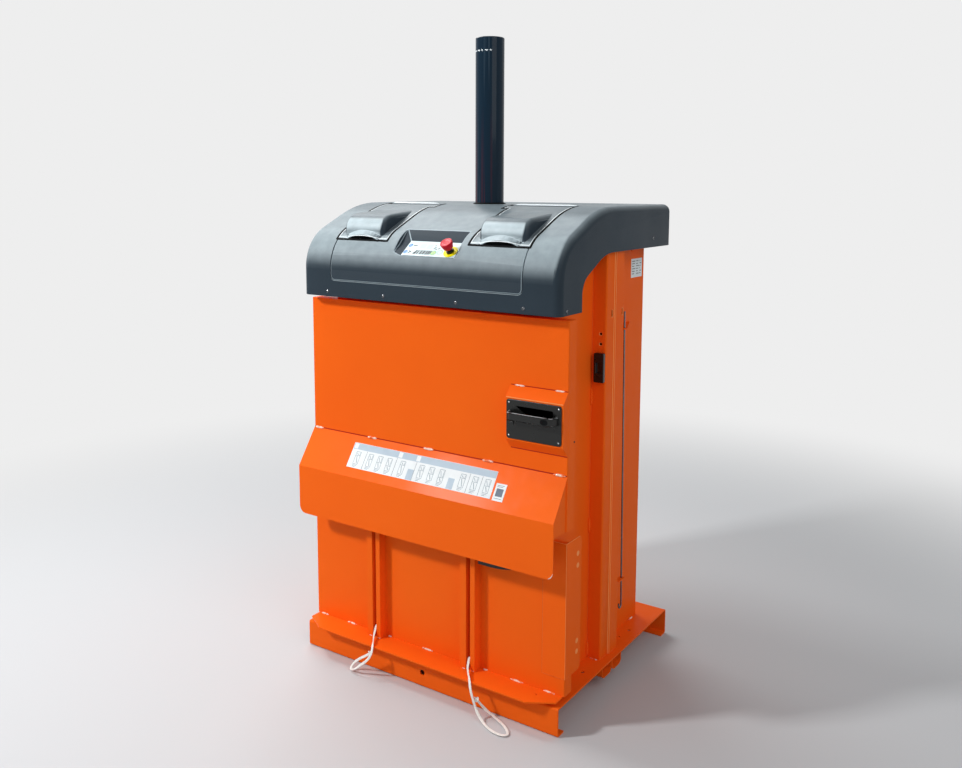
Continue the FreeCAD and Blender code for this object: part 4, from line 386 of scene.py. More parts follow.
@dataclass(frozen=True)
class Moulding(Finish):
    """Moulded plastic with a fine leathery grain, slight paler clouds and, where set, painted highlight and
    painted top-light sheen.
    """

    pale: Tint
    roughness: float = 0.46
    grain: float = 950.0
    depth: float = 0.35
    shine: float = 0.3
    # painted highlight: how much, which way, from what onset and on up-facing faces the colour pales as if
    # lit, and to which tint
    highlight_share: float = 0.0
    facing: Triple = (-0.16, -0.73, 0.665)
    onset: float = 0.74
    top_sheen: float = 0.45
    highlight_tint: Tint = Tint(206, 222, 228)
    clouds: Mottle = Mottle(3.0, 3.0, 0.4, 0.7, end=0.25)
    highlight_breakup: Mottle = Mottle(34.0, 8.0, start=0.82)

    def paint(self, bench: Bench) -> None:
        """Colour = tint with specks and clouds of the paler tint, paled further by a painted highlight;
        relief = cell pattern of the grain.

        Args:
            bench: the material's workbench.
        """
        specks = Mottle(self.grain, 2.0, 0.45, 0.75, end=0.55)
        pale = self.pale.linear()
        base = bench.layered(self.tint.linear(), (specks, pale), (self.clouds, pale))
        if self.highlight_share > 0.0:
            base = bench.blend(self.painted_highlight(bench), base, self.highlight_tint.linear())
        cells = bench.node("TexVoronoi", {"feature": "F1"}, Vector=bench.place, Scale=self.grain)
        rough = bench.mottled(self.dull(9.0, 5.0, self.roughness, 0.06, 0.07))
        bench.shade(Base_Color=base, Roughness=rough, Specular_IOR_Level=self.shine,
                    Normal=bench.bump(cells.outputs["Distance"], self.depth, 0.0004))

    def painted_highlight(self, bench: Bench) -> Socket:
        """How far a painted highlight pales the colour where the form looks up and forward.

        Share = highlight_share * highlight_breakup * the larger of top_sheen * S(normal's height) and
        S(normal . facing), where S is a smooth step; the first term is painted top-light sheen, partly dust,
        the second a painted highlight.

        Args:
            bench: the material's bench.

        Returns:
            The share.
        """
        normal = bench.node("TexCoord").outputs["Normal"]
        height = bench.node("SeparateXYZ", Vector=normal).outputs["Z"]
        nose = bench.wire(bench.node("VectorMath", {"operation": "DOT_PRODUCT"}), {0: normal, 1: self.facing})
        top_sheen = bench.maths("MULTIPLY", bench.span(height, 0.2, 0.95, kind="SMOOTHSTEP"), self.top_sheen)
        front = bench.span(nose.outputs["Value"], self.onset, 0.985, kind="SMOOTHSTEP")
        share = bench.maths("MULTIPLY", bench.maths("MAXIMUM", top_sheen, front), bench.mottled(self.highlight_breakup))
        return bench.maths("MULTIPLY", share, self.highlight_share)


@dataclass(frozen=True)
class Lacquer(Finish):
    """Glossy black lacquer on the tall barrel, with faint upright lines of painted reflection and of painted
    highlight.
    """

    reflection_tint: Tint
    highlight_line_tint: Tint = Tint(96, 116, 130)
    foot: float = 1.47
    fade: float = 1.78
    streaks: Mottle = Mottle(60.0, 3.0, 0.56, 0.66, end=0.75, stretch=(1.0, 1.0, 0.012))
    highlight_lines: Mottle = Mottle(140.0, 2.0, 0.62, 0.67, end=0.3, stretch=(1.0, 1.0, 0.006))
    waves: Grain = Grain(90.0, 2.0, 0.06, 0.0005, (1.0, 1.0, 0.05))

    def paint(self, bench: Bench) -> None:
        """Colour = tint with thin pale lines of painted highlight, and a dull red of painted reflection low
        down where upright noise is high.

        Args:
            bench: the material's workbench.
        """
        height = bench.node("SeparateXYZ", Vector=bench.place).outputs["Z"]
        low = bench.span(height, self.foot, self.fade, 1.0, 0.0)
        share = bench.maths("MULTIPLY", bench.mottled(self.streaks), low)
        base = bench.layered(bench.blend(share, self.tint.linear(), self.reflection_tint.linear()),
                             (self.highlight_lines, self.highlight_line_tint.linear()))
        rough = bench.mottled(Mottle(20.0, 5.0, start=0.10, end=0.2, stretch=(1.0, 1.0, 0.2)))
        bench.shade(Base_Color=base, Roughness=rough, Normal=bench.grained(self.waves), Coat_Weight=0.08,
                    Coat_Roughness=0.04, Specular_IOR_Level=0.1)


@dataclass(frozen=True)
class Metal(Finish):
    """Bare or plated metal, brushed along one axis."""

    roughness: float = 0.3
    stretch: Triple = (1.0, 1.0, 0.05)
    clouds: Mottle = Mottle(25.0, 4.0, 0.35)

    def paint(self, bench: Bench) -> None:
        """Roughness and a shallow relief both follow stretched noise; colour dulls in clouds.

        Args:
            bench: the material's workbench.
        """
        brushed = bench.noise(500.0, 3.0, self.stretch)
        base = bench.layered(self.tint.linear(), (self.clouds, self.tint.linear(0.72)))
        rough = bench.span(brushed, 0.3, 0.7, self.roughness - 0.08, self.roughness + 0.1)
        bench.shade(Base_Color=base, Roughness=rough, Normal=bench.bump(brushed, 0.15, 0.0003), Metallic=1.0)


@dataclass(frozen=True)
class Film(Finish):
    """Printed film, paper or rubber with a slight haze."""

    roughness: float = 0.5
    clouds: Mottle = Mottle(40.0, 4.0, 0.35, 0.75, end=0.5)
    tooth: Grain = Grain(900.0, 1.0, 0.05, 0.0002)

    def paint(self, bench: Bench) -> None:
        """Colour = tint, a touch darker in soft clouds.

        Args:
            bench: the material's workbench.
        """
        base = bench.layered(self.tint.linear(), (self.clouds, self.tint.linear(0.9)))
        rough = bench.mottled(self.dull(80.0, 2.0, self.roughness, 0.08, 0.08))
        bench.shade(Base_Color=base, Roughness=rough, Normal=bench.grained(self.tooth),
                    Specular_IOR_Level=0.12)


@dataclass(frozen=True)
class Webbing(Finish):
    """Woven polyester strap: a basket weave that follows the strap's own UV map."""

    hollow_shade: Tint
    along: float = 2600.0
    across: float = 3400.0
    frays: Mottle = Mottle(300.0, 4.0, 0.45, 0.8, end=0.6)

    def paint(self, bench: Bench) -> None:
        """Height = product of two waves, along and across the strap; painted shade darkens the colour where
        the weave is low.

        Args:
            bench: the material's workbench.
        """
        parts = bench.node("SeparateXYZ", Vector=bench.node("TexCoord").outputs["UV"]).outputs
        waves = [bench.maths("SINE", bench.maths("MULTIPLY", parts[axis], count))
                 for axis, count in (("X", self.along), ("Y", self.across))]
        weave = bench.span(bench.maths("MULTIPLY", *waves), -1.0, 1.0)
        base = bench.blend(bench.span(weave, 0.0, 1.0, 0.45, 0.0), self.tint.linear(), self.hollow_shade.linear())
        bench.shade(Base_Color=bench.layered(base, (self.frays, self.hollow_shade.linear())),
                    Normal=bench.bump(weave, 0.5, 0.0004), Roughness=0.85, Sheen_Weight=0.25)


@dataclass(frozen=True)
class Winding(Finish):
    """Strap wound on a reel: fine rings round the reel's axis."""

    hollow_shade: Tint
    axis_y: float
    axis_z: float
    rings: float = 5200.0

    def paint(self, bench: Bench) -> None:
        """Rings = sine of the distance from the reel's axis; the colour darkens between windings as painted
        shade.

        Args:
            bench: the material's workbench.
        """
        moved = bench.node("Mapping", Vector=bench.place, Location=(0.0, -self.axis_y, -self.axis_z),
                           Scale=(0.0, 1.0, 1.0))
        length = bench.node("VectorMath", {"operation": "LENGTH"}, Vector=moved.outputs["Vector"])
        rings = bench.maths("SINE", bench.maths("MULTIPLY", length.outputs["Value"], self.rings))
        base = bench.blend(bench.span(rings, -1.0, 1.0, 0.6, 0.0), self.tint.linear(), self.hollow_shade.linear())
        bench.shade(Base_Color=base, Normal=bench.bump(rings, 0.4, 0.0005), Roughness=0.7)


ORANGE = PowderCoat("orange_coat", Tint(248, 104, 24), Tint(238, 88, 20))
# paler orange on rounded edges, the housing's fold line and the wrap plate's plugs: painted highlight
HIGHLIGHT_ORANGE = PowderCoat("painted_highlight_orange", Tint(255, 160, 96), Tint(250, 136, 66), 0.3)
UNIT_GREY = PowderCoat("unit_coat", Tint(70, 74, 80), Tint(48, 52, 58), 0.42)
# weld beads are painted paler than the door paint, with glint specks: painted highlight
WELD = Beading("weld_coat", Tint(252, 140, 78), Tint(240, 96, 34))
# the hood and lids are paled on their tops and fronts by a painted highlight and painted top-light sheen
HOOD_GREY = Moulding("hood_moulding", Tint(44, 54, 62), Tint(62, 75, 86), 0.38, depth=0.22, shine=0.07,
                     highlight_share=0.5)
LID_GREY = Moulding("lid_moulding", Tint(44, 54, 62), Tint(62, 75, 86), 0.34, depth=0.22, shine=0.12,
                    highlight_share=0.88, facing=(-0.12, -0.9, 0.42), onset=0.84, top_sheen=0.25)
PLAIN_GREY = Moulding("plain_moulding", Tint(50, 60, 68), Tint(66, 78, 88), 0.4, depth=0.22, shine=0.1)
# pale colour of the console cover's rounded edges: painted highlight
EDGE_HIGHLIGHT_GREY = Moulding("edge_moulding", Tint(150, 166, 174), Tint(176, 190, 198), 0.4, depth=0.1, shine=0.2)
# pale lines on the lid rims and roof ridges: painted highlight; on the barrel: scuffs
SCUFF_AND_HIGHLIGHT = Moulding("scuff_and_highlight", Tint(224, 234, 238), Tint(240, 246, 248), 0.3, shine=0.4)
PULL_BLACK = Moulding("pull_moulding", Tint(22, 23, 22), Tint(34, 35, 34), 0.28, 1200.0, 0.12, 0.35)
BLACK = Moulding("black_moulding", Tint(12, 12, 15), Tint(26, 26, 30), 0.26, 1300.0, 0.08, 0.45)
# pale grey line along the grip's edge: painted highlight
GLINT = Moulding("painted_grip_highlight", Tint(150, 154, 156), Tint(176, 180, 182), 0.3, 1200.0, 0.1, 0.4)
YELLOW = Moulding("yellow_moulding", Tint(248, 232, 8), Tint(250, 238, 40), 0.4, 1100.0, 0.1, 0.1)
RED = Moulding("red_moulding", Tint(196, 18, 40), Tint(210, 44, 60), 0.34, 1300.0, 0.08, 0.15)
# red low on the barrel is painted reflection and its thin pale lines painted highlight
BARREL = Lacquer("barrel_lacquer", Tint(4, 34, 52), Tint(84, 26, 38))
ZINC = Metal("zinc_plate", Tint(186, 188, 192), 0.34)
DARK_ZINC = Metal("dark_zinc", Tint(112, 114, 118), 0.22, (1.0, 1.0, 1.0))
BRIGHT = Metal("ground_rod", Tint(214, 216, 220), 0.12, (1.0, 1.0, 0.02))
# black pieces in the lid gaps, finger arches, grip recess and at the barrel's foot: painted shade
SHADE_BLACK = Film("painted_shade_black", Tint(5, 7, 9), 0.8)
# dark red lines along seams: painted shade
SEAM_SHADE = Film("painted_seam_shade", Tint(176, 36, 18), 0.7)
CHIP = Film("chipped_edge", Tint(226, 214, 204))
LABEL = Film("label_paper", Tint(231, 240, 242), 0.45)
LABEL_BAND = Film("label_band", Tint(180, 200, 214), 0.45)
LABEL_INK = Film("label_ink", Tint(112, 124, 138))
PICTURE_INK = Film("picture_ink", Tint(150, 168, 178))
INK = Film("dark_ink", Tint(12, 16, 20))
KEYPAD = Film("keypad_film", Tint(212, 232, 236), 0.34)
KEY_SHADE = Film("key_shade", Tint(198, 218, 224), 0.4)
BLUE_INK = Film("blue_ink", Tint(56, 130, 204), 0.4)
GREEN_INK = Film("green_ink", Tint(146, 196, 158), 0.4)
YELLOW_INK = Film("yellow_ink", Tint(226, 232, 120), 0.4)
PALE_RED = Film("pale_red_ink", Tint(228, 116, 128), 0.4)
# darker low points of the weave and between windings: painted shade; the strap's frays share that tint
STRAP = Webbing("strap_webbing", Tint(250, 249, 244), Tint(214, 211, 203))
COIL = Winding("strap_winding", Tint(236, 234, 226), Tint(178, 176, 168), -0.195, 1.298)


# ---------------------------------------------------------------- surfaces
def lattice(rows: int, columns: int) -> np.ndarray:
    """Faces of a grid of points whose columns close in a ring, four indices each.

    Args:
        rows: rings of points.
        columns: points in each ring.

    Returns:
        The faces, shape (n, 4).
    """
    i, j = (a.ravel() for a in np.meshgrid(np.arange(rows - 1), np.arange(columns), indexing="ij"))
    after = (j + 1) % columns
    return np.stack([i * columns + j, (i + 1) * columns + j, (i + 1) * columns + after, i * columns + after],
                    axis=1)


def lathe(profile: Sequence, centre: np.ndarray, axis: Sequence[float], sides: int = 40,
          lobes: Sequence[float] = (0.0,), lobe_count: int = 6) -> Shape:
    """A turned form.

    Point (s, a) = centre + axis * height(s) + radius(s) * (1 + lobe(s) cos(n a)) * (cos a, sin a).

    Args:
        profile: (radius, height) pairs in millimetres, from one pole to the other.
        centre: the foot of the form, in metres.
        axis: direction of the heights.
        sides: points round the form.
        lobes: how far each ring is drawn into lobes, as a share of its radius.
        lobe_count: lobes round the form.

    Returns:
        The points and the faces.
    """
    rings = np.asarray(profile, float) * MM
    up = Vector(axis).normalized()
    side = np.array(up.orthogonal().normalized())
    other = np.cross(up, side)
    angle = np.linspace(0.0, 2.0 * math.pi, sides, endpoint=False)
    radius = rings[:, :1] * (1.0 + np.array(lobes)[:, None] * np.cos(lobe_count * angle))
    points = (centre + rings[:, 1, None, None] * np.array(up) + (radius * np.cos(angle))[..., None] * side
              + (radius * np.sin(angle))[..., None] * other)
    return points.reshape(-1, 3), lattice(len(rings), sides)


def sweep(path: np.ndarray, section: np.ndarray, up: np.ndarray, scale: np.ndarray | float = 1.0) -> Shape:
    """A closed section carried along an open path, with its ends drawn to a point.

    Point (s, a) = path(s) + scale(s) * (section_x(a) * side(s) + section_y(a) * over(s)), where side is
    square to the path and to up, and over is square to both.

    Args:
        path: stations in metres.
        section: closed outline in metres.
        up: one direction for all stations, or one for each.
        scale: size of the section at each station.

    Returns:
        The points and the faces.
    """
    size = np.pad(np.broadcast_to(scale, len(path)).astype(float), 1)
    tangent = np.gradient(path, axis=0)
    tangent /= np.linalg.norm(tangent, axis=1, keepdims=True)
    side = np.cross(tangent, up)
    side /= np.linalg.norm(side, axis=1, keepdims=True)
    path, side, over = (np.vstack([a[:1], a, a[-1:]]) for a in (path, side, np.cross(side, tangent)))
    points = path[:, None, :] + size[:, None, None] * (
        section[None, :, :1] * side[:, None, :] + section[None, :, 1:] * over[:, None, :])
    return points.reshape(-1, 3), lattice(len(path), len(section))


def circle(count: int) -> np.ndarray:
    """Rows of (cos a, sin a), once round."""
    angle = np.linspace(0.0, 2.0 * math.pi, count, endpoint=False)
    return np.stack([np.cos(angle), np.sin(angle)], axis=1)


def oval(width: float, height: float, count: int = 16, power: float = 1.0) -> np.ndarray:
    """Outline (w cos^p a, h sin^p a) / 2 in metres; a power below 1 squares its corners."""
    turn = circle(count)
    return np.sign(turn) * np.abs(turn) ** power * (width, height) * 0.5 * MM


def joined(parts: Iterable[Shape]) -> Shape:
    """Several meshes of four-sided faces as one.

    Args:
        parts: the points and faces of each.

    Returns:
        The points and faces of all.
    """
    points, faces = zip(*parts)
    starts = np.cumsum([0, *map(len, points[:-1])])
    return np.vstack(points), np.vstack([each + start for each, start in zip(faces, starts)])


def block(u0: float, u1: float, v0: float, v1: float, radius: float = 0.0) -> np.ndarray:
    """A rectangle's outline, its corners rounded by quarter circles of four steps.

    Args:
        u0, u1: its sides.
        v0, v1: its ends.
        radius: of its corners.

    Returns:
        The outline's points.
    """
    if radius <= 0.0:
        return np.array([(u0, v0), (u1, v0), (u1, v1), (u0, v1)], float)
    corners = block(u0 + radius, u1 - radius, v0 + radius, v1 - radius)[[2, 3, 0, 1]]
    turn = np.arange(4)[:, None] * math.pi / 2 + np.linspace(0.0, math.pi / 2, 5)
    return (corners[:, None, :] + np.stack([np.cos(turn), np.sin(turn)], axis=2) * radius).reshape(-1, 2)


def disc(u: float, v: float, radius: float, count: int = 28) -> np.ndarray:
    """A circle's outline."""
    return radius * circle(count) + (u, v)


def stroke(u0: float, v0: float, u1: float, v1: float, width: float) -> np.ndarray:
    """The outline of a straight stroke of some width from (u0, v0) to (u1, v1)."""
    square = np.array([v0 - v1, u1 - u0]) / math.hypot(u1 - u0, v1 - v0) * width / 2
    return np.array([(u0, v0) - square, (u1, v1) - square, (u1, v1) + square, (u0, v0) + square])


@dataclass(frozen=True)
class Sheet:
    """A flat field on the machine, with its own two directions."""

    origin: np.ndarray
    along: np.ndarray
    across: np.ndarray

    def plaques(self, outlines: Sequence[np.ndarray], low: float, high: float) -> Shape:
        """Thin closed slabs.

        Point = origin + u along + v across + h out, with out square to both.

        Args:
            outlines: closed outlines in millimetres on the field.
            low: how far the slabs' backs lie over the field.
            high: how far their faces lie over it.

        Returns:
            The points and the faces.
        """
        out = np.cross(self.along, self.across)
        points, faces, start = [], [], 0
        for outline in outlines:
            flat = self.origin + MM * (outline[:, :1] * self.along + outline[:, 1:] * self.across)
            points += [flat + MM * low * out, flat + MM * high * out]
            back = start + np.arange(len(outline))
            face = back + len(outline)
            walls = np.stack([back, np.roll(back, -1), np.roll(face, -1), face], axis=1)
            faces += [back[::-1].tolist(), face.tolist(), *walls.tolist()]
            start += 2 * len(outline)
        return np.vstack(points), faces


def cleaned(source: bpy.types.Mesh, made: bpy.types.Mesh, merge: float, sliver: float, flatten: bool) -> None:
    """Writes a mesh with doubled points merged and with no faces that have no area.

    Args:
        source: the mesh to clean.
        made: the mesh that takes the result.
        merge: points nearer than this, in metres, become one.
        sliver: edges and faces narrower than this, in metres, go.
        flatten: whether flat groups of triangles become one face; if not, faces are turned outwards.
    """
    work = bmesh.new()
    work.from_mesh(source)
    bmesh.ops.remove_doubles(work, verts=work.verts, dist=merge)
    if flatten:
        bmesh.ops.dissolve_limit(work, angle_limit=FLAT_ANGLE, verts=work.verts, edges=work.edges)
    bmesh.ops.dissolve_degenerate(work, edges=work.edges, dist=sliver)
    if not flatten:
        bmesh.ops.recalc_face_normals(work, faces=work.faces)
    work.to_mesh(made)
    work.free()


class Workshop:
    """Turns points, faces and CAD nodes into finished pieces of the scene."""

    def __init__(self) -> None:
        """Starts with no materials and no pieces."""
        self.coats: dict[str, bpy.types.Material] = {}
        self.count = 0

    def coat(self, finish: Finish) -> bpy.types.Material:
        """The material of a finish, made once.

        Args:
            finish: the finish.

        Returns:
            Its material.
        """
        if finish.name not in self.coats:
            self.coats[finish.name] = finish.material()
        return self.coats[finish.name]

    def dress(self, nodes: Nodes, dressing: dict[str, Finish], rest: Finish) -> None:
        """Gives CAD nodes their finish, in every material slot.

        Args:
            nodes: the frame's node objects by name.
            dressing: the finish of each group of names, parted by spaces.
            rest: the finish of every other node.
        """
        chosen = {name: finish for names, finish in dressing.items() for name in names.split()}
        for name, node in nodes.items():
            for slot in node.material_slots:
                slot.material = self.coat(chosen.get(name, rest))
            LOG.info("dressed %s with %s", name, chosen.get(name, rest).name)

    def seat(self, mesh: bpy.types.Mesh, rider: Rider,
             replaces: Sequence[str]) -> bpy.types.Object:
        """Puts a mesh in the scene.

        Args:
            mesh: the mesh, with its finishes.
            rider: the group it moves with.
            replaces: CAD nodes that it stands for.

        Returns:
            The new object.
        """
        made = hung(mesh.name, mesh)
        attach(made, rider.value)
        if replaces:
            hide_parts(*replaces)
        self.count += 1
        LOG.info("piece %s: %d faces on %s", mesh.name, len(mesh.polygons), rider.value)
        return made

    def piece(self, name: str, shape: Shape, finish: Finish, rider: Rider, slot: Slot, smooth: bool = True,
              replaces: Sequence[str] = (), uv: np.ndarray | None = None) -> bpy.types.Object:
        """Makes one finished piece.

        Args:
            name: the piece's name.
            shape: its points in metres and its faces by index.
            finish: the finish it gets.
            rider: the group it moves with.
            slot: not used.
            smooth: whether its faces are shaded smooth.
            replaces: CAD nodes that it stands for.
            uv: a map coordinate for each point, if its finish needs one.

        Returns:
            The new object.
        """
        points, faces = shape
        mesh = bpy.data.meshes.new(name)
        mesh.from_pydata(points, [], faces.tolist() if isinstance(faces, np.ndarray) else faces)
        if uv is not None:
            corners = np.zeros(len(mesh.loops), np.int32)
            mesh.loops.foreach_get("vertex_index", corners)
            mesh.uv_layers.new(name="along").data.foreach_set("uv", uv[corners].ravel())
        cleaned(mesh, mesh, *DRAWN_LIMITS, False)
        mesh.materials.append(self.coat(finish))
        mesh.polygons.foreach_set("use_smooth", np.full(len(mesh.polygons), smooth))
        if smooth:
            mesh.set_sharp_from_angle(angle=SMOOTH_ANGLE)
        return self.seat(mesh, rider, replaces)

    def softened(self, node: bpy.types.Object, radius: float, finishes: Sequence[Finish], rider: Rider,
                 slot: Slot) -> bpy.types.Object:
        """A CAD node remade with rounded edges.

        Args:
            node: the node's object; its mesh is copied, not changed.
            radius: how far the rounding reaches from each sharp edge, in millimetres.
            finishes: those of its material slots; the last one goes on the rounded edges.
            rider: the group it moves with.
            slot: not used.

        Returns:
            The new object, which stands for the node.
        """
        mesh = bpy.data.meshes.new(f"{node.name}_moulding")
        cleaned(node.data, mesh, *CAD_LIMITS, True)
        for finish in finishes:
            mesh.materials.append(self.coat(finish))
        mesh.polygons.foreach_set("material_index", np.zeros(len(mesh.polygons), np.int32))
        mesh.polygons.foreach_set("use_smooth", np.full(len(mesh.polygons), True))
        mesh.set_sharp_from_angle(angle=FOLD_ANGLE)
        made = self.seat(mesh, rider, (node.name,))
        bevel = made.modifiers.new("rounding", "BEVEL")
        bevel.width = radius * MM
        bevel.segments = 2
        bevel.limit_method = "ANGLE"
        bevel.angle_limit = FOLD_ANGLE
        bevel.use_clamp_overlap = False
        bevel.harden_normals = True
        if len(finishes) > 1:
            bevel.material = len(finishes) - 1
        return made


# ---------------------------------------------------------------- the machine's parts
@dataclass
class Assembly:
    """A part of the machine, with the workshop that makes its pieces and what they move with."""

    shop: Workshop
    rider: Rider = Rider.FRAME

    def add(self, name: str, shape: Shape, finish: Finish, slot: Slot, rider: Rider | None = None,
            **options: object) -> bpy.types.Object:
        """Makes a piece that moves with this part or with another rider; the options are Workshop.piece's."""
        return self.shop.piece(name, shape, finish, rider or self.rider, slot, **options)

    def print(self, name: str, sheet: Sheet, outlines: Sequence[np.ndarray], levels: Pair, finish: Finish,
              slot: Slot, **options: object) -> None:
        """Makes thin slabs on a sheet, between two levels over it."""
        self.add(name, sheet.plaques(outlines, *levels), finish, slot, smooth=False, **options)


@dataclass
class Fasteners(Assembly):
    """Screws that show on the machine: domed heads with a star recess."""

    head: float = 5.0
    rise: float = 2.6
    socket: float = 0.44
    sunk: float = -0.4

    def screw(self, name: str, spot: Triple, axis: Triple, finish: Finish, size: float = 1.0) -> None:
        """A screw head; its dome is an arc of the profile and its socket is drawn into six lobes.

        Args:
            name: the piece's name.
            spot: where it sits.
            axis: which way it faces.
            finish: the finish it gets.
            size: its size, as a share of the usual one.
        """
        turn = np.linspace(0.0, math.pi / 2, 7)[:-2]
        star = ((self.socket, 0.92), (self.socket - 0.02, 0.25), (0.0, 0.2))
        dome = np.array([*zip(np.cos(turn), np.sin(turn)), *star]) * (self.head, self.rise)
        profile = np.vstack([[(0.0, self.sunk), (self.head, self.sunk)], dome])
        lobes = [0.0] * (len(profile) - 3) + [0.14, 0.14, 0.0]
        self.add(name, lathe(profile * size, metres(spot), axis, 36, lobes), finish, Slot.BLACK)


@dataclass
class Welds(Assembly):
    """Short beads of weld under the paint."""

    width: float = 8.5
    pitch: float = 5.0
    lean: Triple = (0.3, -0.6, 0.74)

    def bead(self, start: Triple, end: Triple, width: float) -> Shape:
        """One bead: a round section whose size ripples along the run and fades at both ends.

        Args:
            start: its start.
            end: its end.
            width: how wide it is.

        Returns:
            The points and the faces.
        """
        share = np.linspace(0.0, 1.0, 41)
        ends = metres([start, end])
        ripples = math.dist(start, end) / self.pitch
        size = (1.0 - np.abs(2.0 * share - 1.0) ** 5) * (0.86 + 0.14 * np.cos(2 * math.pi * ripples * share))
        return sweep(ends[0] + share[:, None] * (ends[1] - ends[0]), oval(width, width, 10), self.lean,
                     np.maximum(size, 0.08))

    def row(self, name: str, middles: Sequence[Triple], halves: Sequence[float] | float, width: float = 1.0,
            run: np.ndarray = RIGHT, finish: Finish = WELD) -> None:
        """Several beads as one piece.

        Args:
            name: the piece's name.
            middles: the middle of each bead.
            halves: half of each bead's length, or one for all.
            width: how wide they are, as a share of the usual width.
            run: the way they run.
            finish: the finish they get.
        """
        spread = np.broadcast_to(halves, len(middles))[:, None] * run
        beads = [self.bead(a, b, self.width * width) for a, b in zip(middles - spread, middles + spread)]
        self.add(name, joined(beads), finish, Slot.ORANGE)


@dataclass
class UpperDoor(Assembly):
    """Feed door: welds, blank instruction fields, the pull's lines of painted highlight and shade and its
    screws, and the skirt's chip.

    The slope's ends and the fold are (y, z), the hollow and the corner are (x, z). A label is two sides, top
    and foot on the slope; the housing is two sides, foot and top. Cells and steps are shares of the label.
    """

    rider: Rider = Rider.UPPER_DOOR
    slope_top: Pair = (41.0, 739.0)
    slope_foot: Pair = (-34.0, 627.0)
    half: float = 471.0
    label: Quad = (-283.0, 257.0, 24.0, 105.0)
    small: Quad = (264.0, 299.0, 56.0, 107.0)
    label_lift: float = 0.6
    cells: tuple[float, ...] = (0.0, 0.113, 0.335, 0.43, 0.475, 0.71, 0.755, 0.84, 0.92, 1.0)
    steps: tuple[float, ...] = (0.055, 0.15, 0.22, 0.29, 0.385, 0.52, 0.59, 0.66, 0.80, 0.88, 0.96)
    housing: Quad = (290.0, 471.0, 794.2, 975.2)
    pull_y: float = 11.0
    pull_screws: Quad = (301.0, 459.5, 838.0, 931.0)
    side_screw: Triple = (472.5, 77.0, 829.0)
    grip_depth: float = 25.0
    grip_z: float = 908.3
    hollow_shade: Pair = (428.0, 896.0)
    seam_y: float = 40.6
    fold: Pair = (14.0, 944.4)
    corner: Pair = (448.0, 495.0)
    corner_radius: float = 25.2

    def build(self, nodes: Nodes) -> None:
        """Makes every piece of the door.

        Args:
            nodes: the frame's node objects by name.
        """
        self.print_label()
        self.print_small()
        self.welds()
        self.shop.softened(nodes["pull_plate"], 2.0, (PULL_BLACK,), self.rider, Slot.PULL)
        self.screws()
        self.pull_lines()
        self.chip()

    def field(self, name: str, outlines: Sequence[np.ndarray], finish: Finish, low: float = 0.15,
              high: float = 0.22) -> None:
        """Prints outlines on the deflector's slope.

        Args:
            name: the piece's name.
            outlines: closed outlines, u to the machine's pull side and v down the slope.
            finish: the finish they get.
            low: how far their backs lie over the label's sheet.
            high: how far their faces lie over it.
        """
        y, z = self.slope_top
        down = np.array([0.0, self.slope_foot[0] - y, self.slope_foot[1] - z])
        sheet = Sheet(metres((0.0, y, z)), -RIGHT, down / np.linalg.norm(down))
        turned = [outline * (-1.0, 1.0) for outline in outlines]
        self.print(name, sheet, turned, (self.label_lift + low, self.label_lift + high), finish, Slot.LABEL)

    def print_label(self) -> None:
        """A pale instruction field: a blue-grey band, cells, and plain pictures made of strokes."""
        u0, u1, top, foot = self.label
        band, half = (top + share * (foot - top) for share in (0.26, 0.58))
        cells = u0 + (u1 - u0) * np.array(self.cells)
        blocks = [block(cells[k] + 1, cells[k + 1] - 1, half, foot - 1) for k in (3, 5)]
        tags = [block(u, u + 15, top + 2.5, band - 2, 2.0) for u in (u0 + 4, cells[2] + 1, cells[4] - 6)]
        rules = [stroke(u, band + 1, u, foot - 1, 1.2) for u in cells[[1, 2, 4, 7, 8]]]
        self.field("label_ground", [block(u0 + 0.5, u1 - 0.5, top + 0.5, foot - 0.5, 2.0)], LABEL, 0.0, 0.15)
        self.field("label_band", [block(u0 + 1, u1 - 1, top + 1, band)], LABEL_BAND)
        self.field("label_blocks", blocks, LABEL_BAND)
        self.field("label_tags", tags, LABEL, 0.22, 0.28)
        self.field("label_lines", rules, LABEL_INK, 0.15, 0.24)
        self.field("label_pictures", self.pictures(band, foot), PICTURE_INK)

    def pictures(self, top: float, foot: float) -> list[np.ndarray]:
        """Plain line pictures of a cabinet, its open door and an arrow, one for each step.

        Args:
            top: the band's lower edge.
            foot: the label's lower edge.

        Returns:
            The strokes' outlines.
        """
        low, high, half = top + 7, foot - 13, 9
        marks = []
        for index, share in enumerate(self.steps):
            u = self.label[0] + (self.label[1] - self.label[0]) * share
            level = low + (high - low) * (0.3 + 0.1 * (index % 4))
            cabinet = ((-half, low, -half, high, 1.5), (half, low, half, high, 1.5),
                       (-half, low, half, low, 1.5), (-half, high, half, high, 1.5),
                       (-half, level, half, level, 1.4))
            arrow = ((-3, level + 2, 4, high - 3, 2.4), (-6, low + 4, 1, level - 2, 1.8),
                     (6, low + 3, 6, level, 1.4))
            words = ((-half, foot - 9, 7, foot - 9, 1.6), (-half, foot - 5, 2, foot - 5, 1.6))
            marks += [stroke(u + a, b, u + c, d, width) for a, b, c, d, width in cabinet + arrow + words]
        return marks

    def print_small(self) -> None:
        """The small field: a pale ground, a few short lines and one plain grey block."""
        u0, u1, top, foot = self.small
        lines = [stroke(u0 + 5, v, u1 - indent, v, 1.3)
                 for v, indent in ((top + 6, 6), (top + 10, 10), (foot - 7, 6))]
        self.field("small_ground", [block(u0 + 0.4, u1 - 0.4, top + 0.4, foot - 0.4, 1.5)], LABEL, 0.0, 0.15)
        self.field("small_lines", lines, LABEL_INK)
        self.field("small_block", [block(u0 + 6, u1 - 6, top + 15, foot - 13, 1.0)], LABEL_INK)

